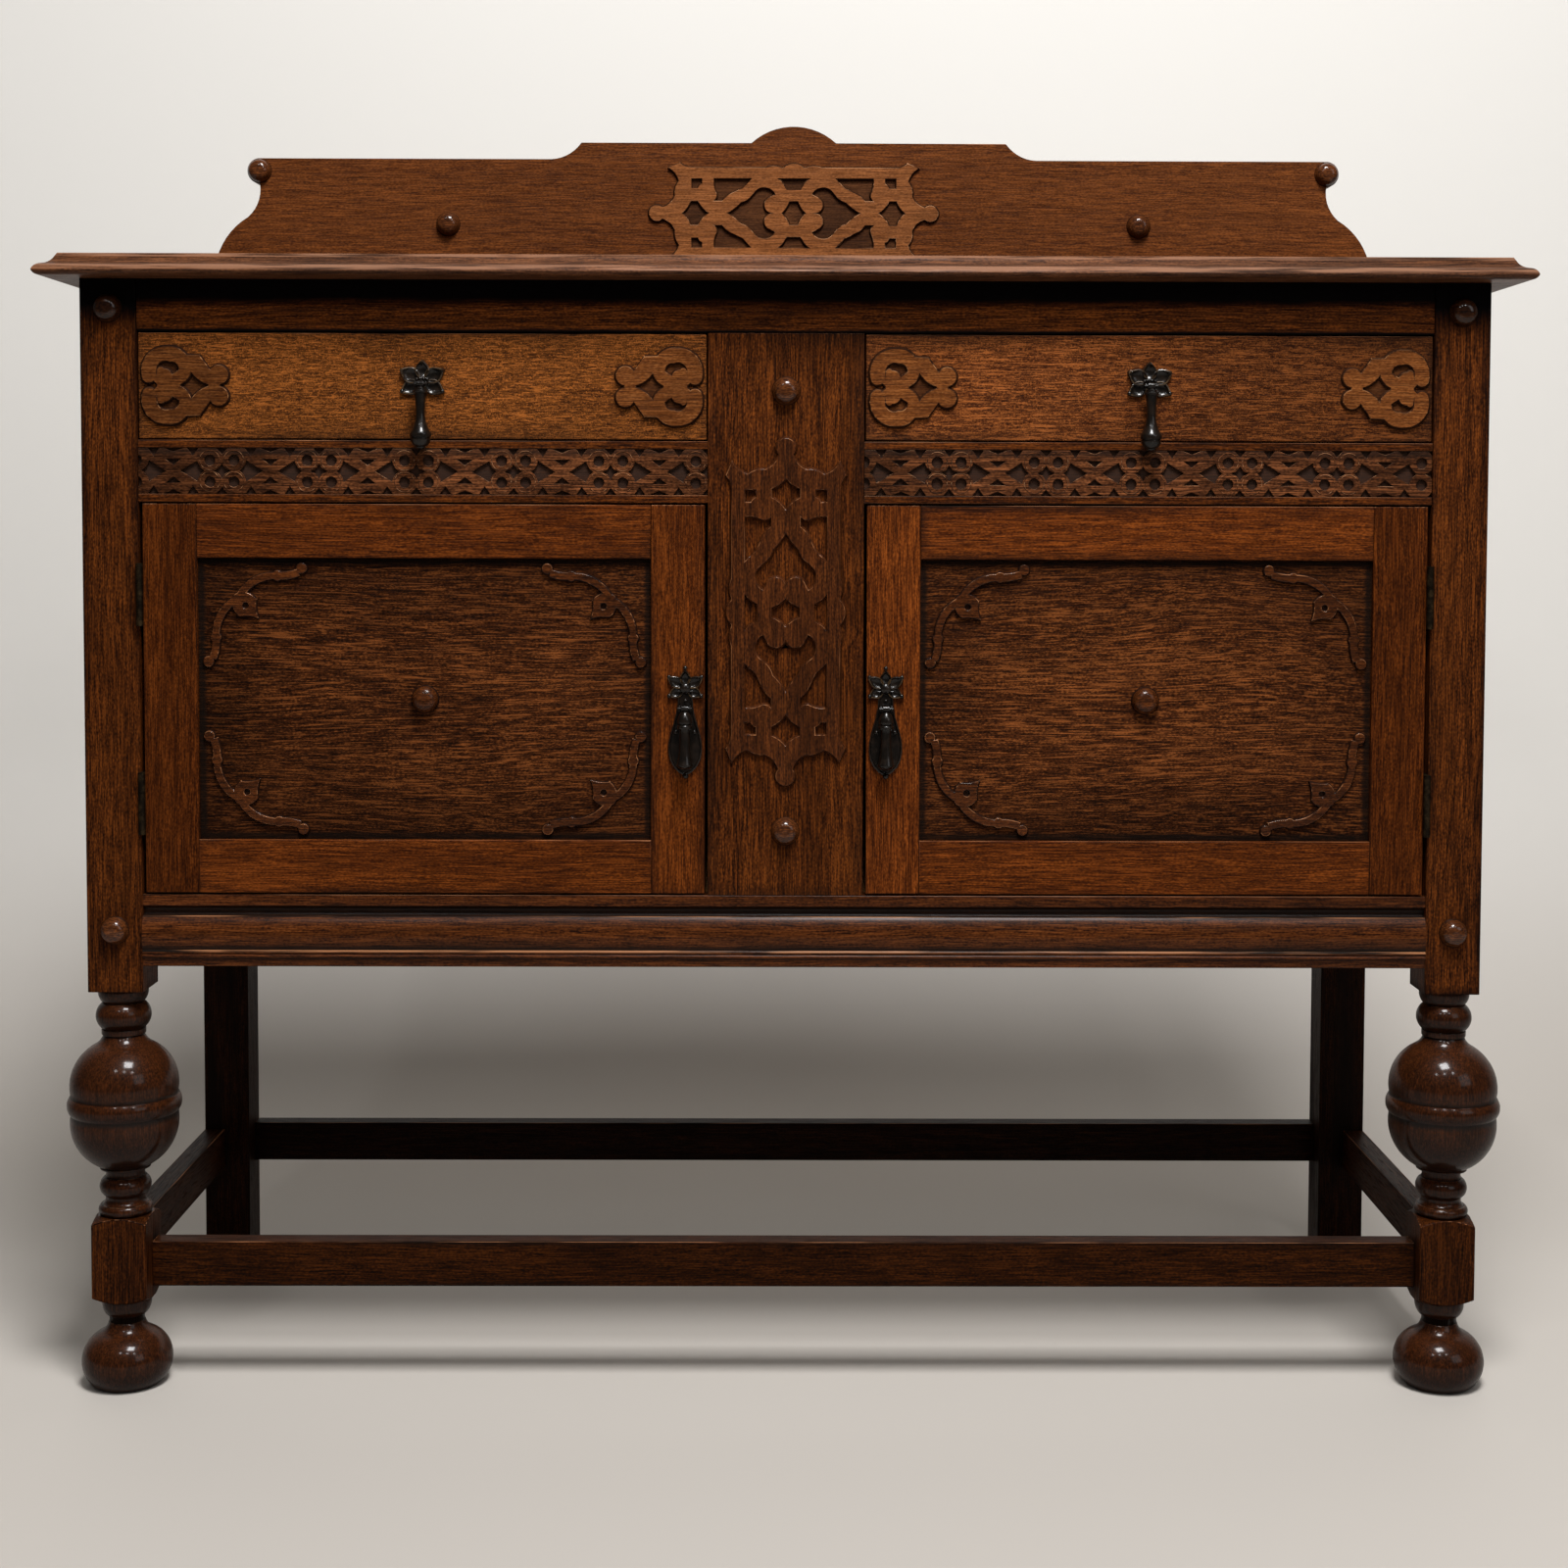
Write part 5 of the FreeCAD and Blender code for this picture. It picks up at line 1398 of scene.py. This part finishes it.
@dataclass
class CastHandle:
    """What both kinds of handle share: a plate with cupped petals and beads, and a drop on a pin.

    The profiles, petals and beads are in millimetres, the other lengths in metres. A petal's row has its
    turn from upright in degrees, its length, its width and the lift of its rim. A bead's row has its place
    across and up from the middle, its radius and how far its middle stands off the board.
    """

    bench: Bench
    body: str
    middle: float
    pivot: float
    boss: Points
    petals: tuple[tuple[float, ...], ...]
    beads: tuple[tuple[float, ...], ...]
    drop_profile: Points
    face: float = -194.5 * MM
    stand: float = 12 * MM
    ear: Point = (2.0 * MM, 4.4 * MM)
    ear_place: float = 4.3 * MM
    pin: Points = ((0.0, -5.6), (1.0, -5.6), (1.0, 5.6), (0.0, 5.6))
    eye: Points = ((1.25, -2.8), (2.5, -2.8), (2.6, -2.2), (2.6, 2.2), (2.5, 2.8), (1.25, 2.8), (1.25, -2.8))
    petal_rise: Points = (
        (0.0, 0.30), (0.35, 0.34), (0.62, 0.50), (0.80, 0.82), (0.88, 1.0), (0.96, 0.92), (1.0, 0.6))
    sunk: float = -0.1

    def build(self) -> None:
        """Casts the plate and turns the drop."""
        lowest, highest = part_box(f"{self.body}_handle_plate")
        x = (lowest.x + highest.x) / 2
        middle = Vector((x, self.face, self.middle))
        pivot = Vector((x, self.face - self.stand, self.pivot))
        made = self.bench.lathe(metres(self.boss), middle, Vector((0, -1, 0)))
        self.bench.join(made, *self.plate(middle))
        self.bench.join(made, *(self.petal(middle, *petal) for petal in self.petals))
        self.bench.join(made, *(self.bead(middle, *bead) for bead in self.beads))
        self.bench.join(made, *self.ears(pivot))
        brass = self.bench.palette.metal(HANDLE_BRASS)
        self.bench.place(made, f"{self.body}_handle_cast", brass, self.body, "handle_brass",
                         f"{self.body}_handle_plate")
        drop = self.bench.lathe([(radius * MM, -depth * MM) for radius, depth in self.drop_profile], pivot)
        self.bench.join(drop, self.bench.lathe(metres(self.eye), pivot, Vector((1, 0, 0))))
        self.bench.place(drop, f"{self.body}_drop_turned", brass, f"{self.body}_drop", "handle_brass",
                         f"{self.body}_handle_drop")

    def plate(self, middle: Vector) -> list[BMesh]:
        """What else the plate has under its petals."""
        return []

    def petal(self, middle: Vector, angle: float, length: float, width: float, lift: float) -> BMesh:
        """Casts one cupped petal with a raised rim, drawn out to a point.

        Args:
            middle: where the petals meet, on the face of the board.
            angle: turn from upright, clockwise, in degrees.
            length: from the middle to the tip, in millimetres.
            width: across the petal, in millimetres.
            lift: height of the rim over the board, in millimetres.

        Returns:
            The petal.
        """
        profile = [(across, rise * lift * MM) for across, rise in self.petal_rise]
        profile += [(1.02, self.sunk * MM), (0.0, self.sunk * MM)]
        made = self.bench.lathe(profile, Vector(), Vector((0, -1, 0)))
        turn = Matrix.Rotation(math.radians(angle), 4, "Y")
        self.bench.rub(made, [face for face in made.faces
                              if face.calc_center_median().y < -0.85 * lift * MM])
        # Each petal is narrow at its root and its tip, drawn out towards the tip and curled up there.
        for corner in made.verts:
            along, across = corner.co.z, corner.co.x
            narrow = 1.0 - 0.42 * max(0.0, along) ** 2 - 0.25 * max(0.0, -along) ** 1.5
            reach = 0.5 + 0.42 * along + 0.08 * max(0.0, along) ** 5
            curl = 1.0 + 0.5 * max(0.0, along) ** 3
            bent = Vector((across * narrow * width / 2 * MM, corner.co.y * curl, reach * length * MM))
            corner.co = middle + turn @ bent
        bmesh.ops.recalc_face_normals(made, faces=made.faces)
        return made

    def bead(self, middle: Vector, across: float, up: float, radius: float, rise: float) -> BMesh:
        """Casts a round bead on the plate.

        Args:
            middle: the middle of the plate, on the face of the board.
            across: its place along X from there, in millimetres.
            up: its height over there, in millimetres.
            radius: its radius, in millimetres.
            rise: how far its middle stands off the board, in millimetres.

        Returns:
            The bead.
        """
        made = self.bench.blank()
        bmesh.ops.create_uvsphere(made, u_segments=16, v_segments=10, radius=radius * MM)
        bmesh.ops.translate(made, verts=made.verts, vec=middle + Vector((across, -rise, up)) * MM)
        return made

    def ears(self, pivot: Vector) -> list[BMesh]:
        """Casts the two ears and the pin that the drop swings on.

        Args:
            pivot: the pin's middle.

        Returns:
            The ears and the pin.
        """
        width, height = self.ear
        parts = [self.bench.lathe(metres(self.pin), pivot, Vector((1, 0, 0)))]
        for sign in (-1, 1):
            arm = self.bench.blank()
            bmesh.ops.create_cube(arm, size=1.0)
            bmesh.ops.scale(arm, vec=(width, self.stand, height), verts=arm.verts)
            bmesh.ops.translate(arm, vec=pivot + Vector((sign * self.ear_place, self.stand / 2, 0)),
                                verts=arm.verts)
            bmesh.ops.bevel(arm, geom=arm.edges[:], offset=0.6 * MM, offset_type="OFFSET", segments=2,
                            profile=0.5, affect="EDGES", material=-1)
            parts.append(arm)
        return parts


@dataclass
class DrawerHandle(CastHandle):
    """The five-petalled handle of a drawer with its long drop."""

    middle: float = 845.5 * MM
    pivot: float = 843 * MM
    boss: Points = ((0.0, 3.6), (3.4, 3.2), (6.0, 2.0), (7.4, 0.4), (7.4, -0.1), (0.0, -0.1))
    petals: tuple[tuple[float, ...], ...] = (
        (0.0, 17.6, 12.6, 3.4), *mirrored((62.0, 20.6, 14.0, 3.2), (117.0, 20.2, 13.0, 2.6)))
    beads: tuple[tuple[float, ...], ...] = (
        (0.4, -0.8, 1.5, 3.4), *mirrored((4.4, 1.6, 1.5, 3.4), (1.6, 2.2, 1.5, 3.4), (16.6, -8.2, 1.8, 2.4)))
    drop_profile: Points = (
        (0.0, 1.6), (2.2, 2.0), (2.3, 3.2), (4.2, 3.3), (4.4, 3.8), (4.4, 5.0), (5.9, 5.3),
        (6.3, 6.2), (5.9, 7.2), (5.0, 7.5), (4.5, 11.0), (4.0, 16.0), (3.7, 21.0), (3.7, 25.5),
        (4.1, 29.0), (5.0, 32.5), (6.3, 36.0), (7.7, 38.6), (8.6, 39.8), (8.9, 41.6), (8.6, 43.4),
        (7.8, 43.7), (7.6, 44.3), (7.7, 44.9), (8.2, 45.2), (8.1, 46.4), (7.2, 48.8), (5.8, 50.6),
        (4.6, 51.1), (4.0, 51.4), (4.1, 52.0), (3.4, 52.9), (1.6, 53.3), (0.0, 53.4))


@dataclass
class DoorHandle(CastHandle):
    """The long plate of a door handle, with its petalled head, vase-shaped body and short drop."""

    middle: float = 593 * MM
    pivot: float = 577 * MM
    boss: Points = ((0.0, 4.4), (2.6, 4.0), (4.4, 2.8), (5.2, 1.0), (5.2, -0.1), (0.0, -0.1))
    petals: tuple[tuple[float, ...], ...] = (
        (0.0, 15.6, 9.6, 3.4), *mirrored((57.0, 17.4, 10.0, 3.0), (116.0, 15.6, 9.6, 2.8)))
    beads: tuple[tuple[float, ...], ...] = (
        (0.0, 17.0, 1.8, 2.2), (0.0, -10.0, 1.5, 3.4), (0.4, -72.6, 2.5, 2.4),
        *mirrored((13.4, 9.4, 1.8, 2.6), (13.2, -6.2, 1.9, 2.4), (7.6, -36.2, 2.0, 3.6)))
    drop_profile: Points = (
        (0.0, 2.4), (2.4, 2.6), (3.0, 3.3), (4.4, 5.0), (5.4, 7.2), (5.9, 9.6), (5.8, 11.8),
        (5.5, 12.6), (4.8, 12.9), (4.8, 13.5), (5.8, 13.9), (6.3, 15.2), (5.8, 16.5), (4.6, 16.8),
        (4.2, 17.6), (4.1, 20.0), (4.1, 24.0), (4.3, 30.0), (4.8, 36.0), (5.5, 41.0), (6.3, 45.0),
        (6.8, 46.3), (6.9, 47.0), (6.5, 47.5), (5.9, 48.2), (4.6, 49.6), (2.6, 50.3), (0.0, 50.4))
    vase: Points = (
        (2.2, -71.6), (5.6, -69.6), (9.8, -65.0), (12.6, -59.0), (13.9, -52.0), (13.7, -45.0), (12.2, -37.5),
        (10.0, -30.0), (8.0, -23.0), (6.7, -16.0), (6.2, -9.0), (6.4, -2.0))
    vase_rise: float = 2.2
    rim_steps: Points = ((0.5, 0.4), (0.7, 0.0), (0.7, -1.4))

    def plate(self, middle: Vector) -> list[BMesh]:
        """Casts the vase-shaped body with its raised rim.

        Args:
            middle: the middle of the petals, on the face of the board.

        Returns:
            The body of the plate.
        """
        made = self.bench.blank()
        outline = [*self.vase, *((-across, up) for across, up in reversed(self.vase))]
        front = made.faces.new([made.verts.new(middle + Vector((across, -self.vase_rise, up)) * MM)
                                for across, up in outline])
        made.normal_update()
        if front.normal.y > 0:
            front.normal_flip()
        self.bench.deepen(made, [front], (self.vase_rise - self.sunk) * MM)
        front = min(made.faces, key=lambda face: face.calc_center_median().y)
        for inward, outward in self.rim_steps:
            bmesh.ops.inset_region(made, faces=[front], thickness=inward * MM, depth=outward * MM,
                                   use_even_offset=True)
        return [made]


@dataclass(frozen=True)
class Lamp:
    """One square soft lamp, in metres and watts."""

    name: str
    place: tuple[float, float, float]
    aim: tuple[float, float, float]
    size: float
    power: float

    def hang(self) -> None:
        """Hangs the lamp and turns it to what it lights."""
        light = bpy.data.lights.new(self.name, "AREA")
        light.size = self.size
        light.energy = self.power
        holder = bpy.data.objects.new(self.name, light)
        holder.location = self.place
        holder.rotation_euler = (Vector(self.aim) - Vector(self.place)).to_track_quat("-Z", "Y").to_euler()
        bpy.context.scene.collection.objects.link(holder)


@dataclass
class Studio:
    """The plain pale floor and backdrop, the lamps and the camera of the photograph.

    A wide soft lamp hangs over the front, with weaker ones at the side and the back. Three small ones
    make glints.
    """

    floor_colour: Colour = paint(178, 172, 165)
    wall_colour: Colour = paint(218, 215, 210)
    air: float = 0.06
    wall: float = 1.1
    wall_height: float = 4.5
    cove: float = 0.45
    cove_steps: int = 16
    reach: float = 7.0
    sensor: float = 36.0
    lens: float = 52.935
    shift: Point = (-0.0099, -0.0975)
    eye: tuple[float, float, float] = (1.97 * MM, -2100.73 * MM, 734.25 * MM)
    yaw: float = -0.005
    pitch: float = 0.0491
    roll: float = 0.0028
    lamps: tuple[Lamp, ...] = (
        Lamp("overhead", (0.3, -1.55, 3.3), (0.0, 0.0, 0.7), 0.9, 150.0),
        Lamp("side", (2.8, -3.2, 2.2), (0.0, 0.0, 0.6), 1.8, 20.0),
        Lamp("rear", (-1.4, 3.4, 2.6), (0.0, 0.2, 0.6), 1.8, 45.0),
        Lamp("glint_left", (-0.9, -2.4, 2.7), (0.0, 0.0, 0.5), 0.22, 7.0),
        Lamp("glint_middle", (0.1, -2.6, 2.8), (0.0, 0.0, 0.5), 0.22, 7.0),
        Lamp("glint_right", (1.1, -2.4, 2.7), (0.0, 0.0, 0.5), 0.22, 7.0))

    def build(self) -> None:
        """Sets up everything round the object."""
        bpy.context.scene.view_settings.view_transform = "Standard"
        self._sweep()
        self._world()
        for lamp in self.lamps:
            lamp.hang()
        self._camera()

    def _sweep(self) -> None:
        """Sweeps the floor up into the backdrop in one curve."""
        made = bmesh.new()
        steps = self.cove_steps
        line = [(-self.reach, 0.0), (self.wall - self.cove, 0.0)]
        line += [(self.wall - self.cove + self.cove * math.sin(turn), self.cove - self.cove * math.cos(turn))
                 for turn in (math.pi / 2 * (count + 1) / steps for count in range(steps))]
        line.append((self.wall, self.wall_height))
        corners = [made.verts.new((-self.reach, y, z)) for y, z in line]
        lines = [made.edges.new(pair) for pair in zip(corners, corners[1:])]
        grown = bmesh.ops.extrude_edge_only(made, edges=lines)["geom"]
        swept = [item for item in grown if isinstance(item, BMVert)]
        bmesh.ops.translate(made, vec=(2 * self.reach, 0, 0), verts=swept)
        bmesh.ops.recalc_face_normals(made, faces=made.faces)
        if min(made.faces, key=lambda face: face.calc_center_median().y).normal.z < 0:
            bmesh.ops.reverse_faces(made, faces=made.faces)
        coat = self._sweep_paint()
        self._surface(made, "studio_sweep", coat)
        self._surface(self._far_floor(), "studio_far_floor", coat)

    def _far_floor(self) -> BMesh:
        """Carries the floor on behind the backdrop, for views from the back."""
        made = bmesh.new()
        bmesh.ops.create_grid(made, x_segments=1, y_segments=1, size=self.reach)
        bmesh.ops.translate(made, vec=(0, self.wall - self.cove + self.reach, 0), verts=made.verts)
        return made

    @staticmethod
    def _surface(made: BMesh, name: str, coat: Material) -> Object:
        """Sets one smooth surface of the studio in the scene.

        Args:
            made: its mesh, which is freed.
            name: its name.
            coat: its paint.

        Returns:
            The object.
        """
        mesh = bpy.data.meshes.new(name)
        made.to_mesh(mesh)
        made.free()
        mesh.polygons.foreach_set("use_smooth", [True] * len(mesh.polygons))
        mesh.materials.append(coat)
        surface = bpy.data.objects.new(name, mesh)
        bpy.context.scene.collection.objects.link(surface)
        return surface

    def _sweep_paint(self) -> Material:
        """Matt paint, pale on the floor and paler up the backdrop, which is clear from behind.

        Returns:
            The material.
        """
        made, sheet, shader = new_material("studio_paint")
        shader.inputs["Roughness"].default_value = 0.7
        place = sheet.add("ShaderNodeTexCoord").outputs["Object"]
        split = sheet.add("ShaderNodeSeparateXYZ")
        sheet.feed(split.inputs[0], place)
        up = sheet.step(split.outputs["Z"], 0.0, 0.5)
        sheet.feed(shader.inputs["Base Color"], sheet.mixed(up, self.floor_colour, self.wall_colour))
        behind = sheet.add("ShaderNodeNewGeometry").outputs["Backfacing"]
        sheet.feed(shader.inputs["Alpha"], sheet.maths("SUBTRACT", 1.0, behind))
        return made

    def _world(self) -> None:
        """Even light from all round, which the camera sees as a pale backdrop."""
        world = bpy.data.worlds.new("studio_air")
        world.use_nodes = True
        sheet = NodeSheet(world.node_tree)
        ground = world.node_tree.nodes["Background"]
        seen = sheet.add("ShaderNodeLightPath").outputs["Is Camera Ray"]
        sheet.feed(ground.inputs["Color"], sheet.mixed(seen, (1.0, 0.985, 0.96, 1.0), self.wall_colour))
        sheet.feed(ground.inputs["Strength"], sheet.maths("MULTIPLY_ADD", seen, 1.0 - self.air, self.air))
        bpy.context.scene.world = world

    def _camera(self) -> None:
        """Stands the camera where the photograph was taken."""
        ahead = Vector((-math.sin(self.yaw), math.cos(self.yaw), 0.0))
        right = Vector((math.cos(self.yaw), math.sin(self.yaw), 0.0))
        depth = math.cos(self.pitch) * ahead - math.sin(self.pitch) * Vector((0, 0, 1))
        up = math.sin(self.pitch) * ahead + math.cos(self.pitch) * Vector((0, 0, 1))
        along = math.cos(self.roll) * right + math.sin(self.roll) * up
        up = -math.sin(self.roll) * right + math.cos(self.roll) * up
        lens = bpy.data.cameras.new("photo_camera")
        lens.sensor_width = self.sensor
        lens.sensor_fit = "HORIZONTAL"
        lens.lens = self.lens
        lens.shift_x, lens.shift_y = self.shift
        camera = bpy.data.objects.new("photo_camera", lens)
        turn = Matrix((along, up, -depth)).transposed().to_4x4()
        camera.matrix_world = Matrix.Translation(self.eye) @ turn
        bpy.context.scene.collection.objects.link(camera)
        bpy.context.scene.camera = camera


def main() -> None:
    """Builds every sub-assembly in order."""
    logging.basicConfig(level=logging.INFO, format="%(name)s: %(message)s")
    bench = Bench(Palette())
    Carcass(bench).build()
    for side in Side:
        Drawer(bench, side).build()
        Door(bench, side).build()
    Studio().build()


if __name__ == "__main__":
    main()
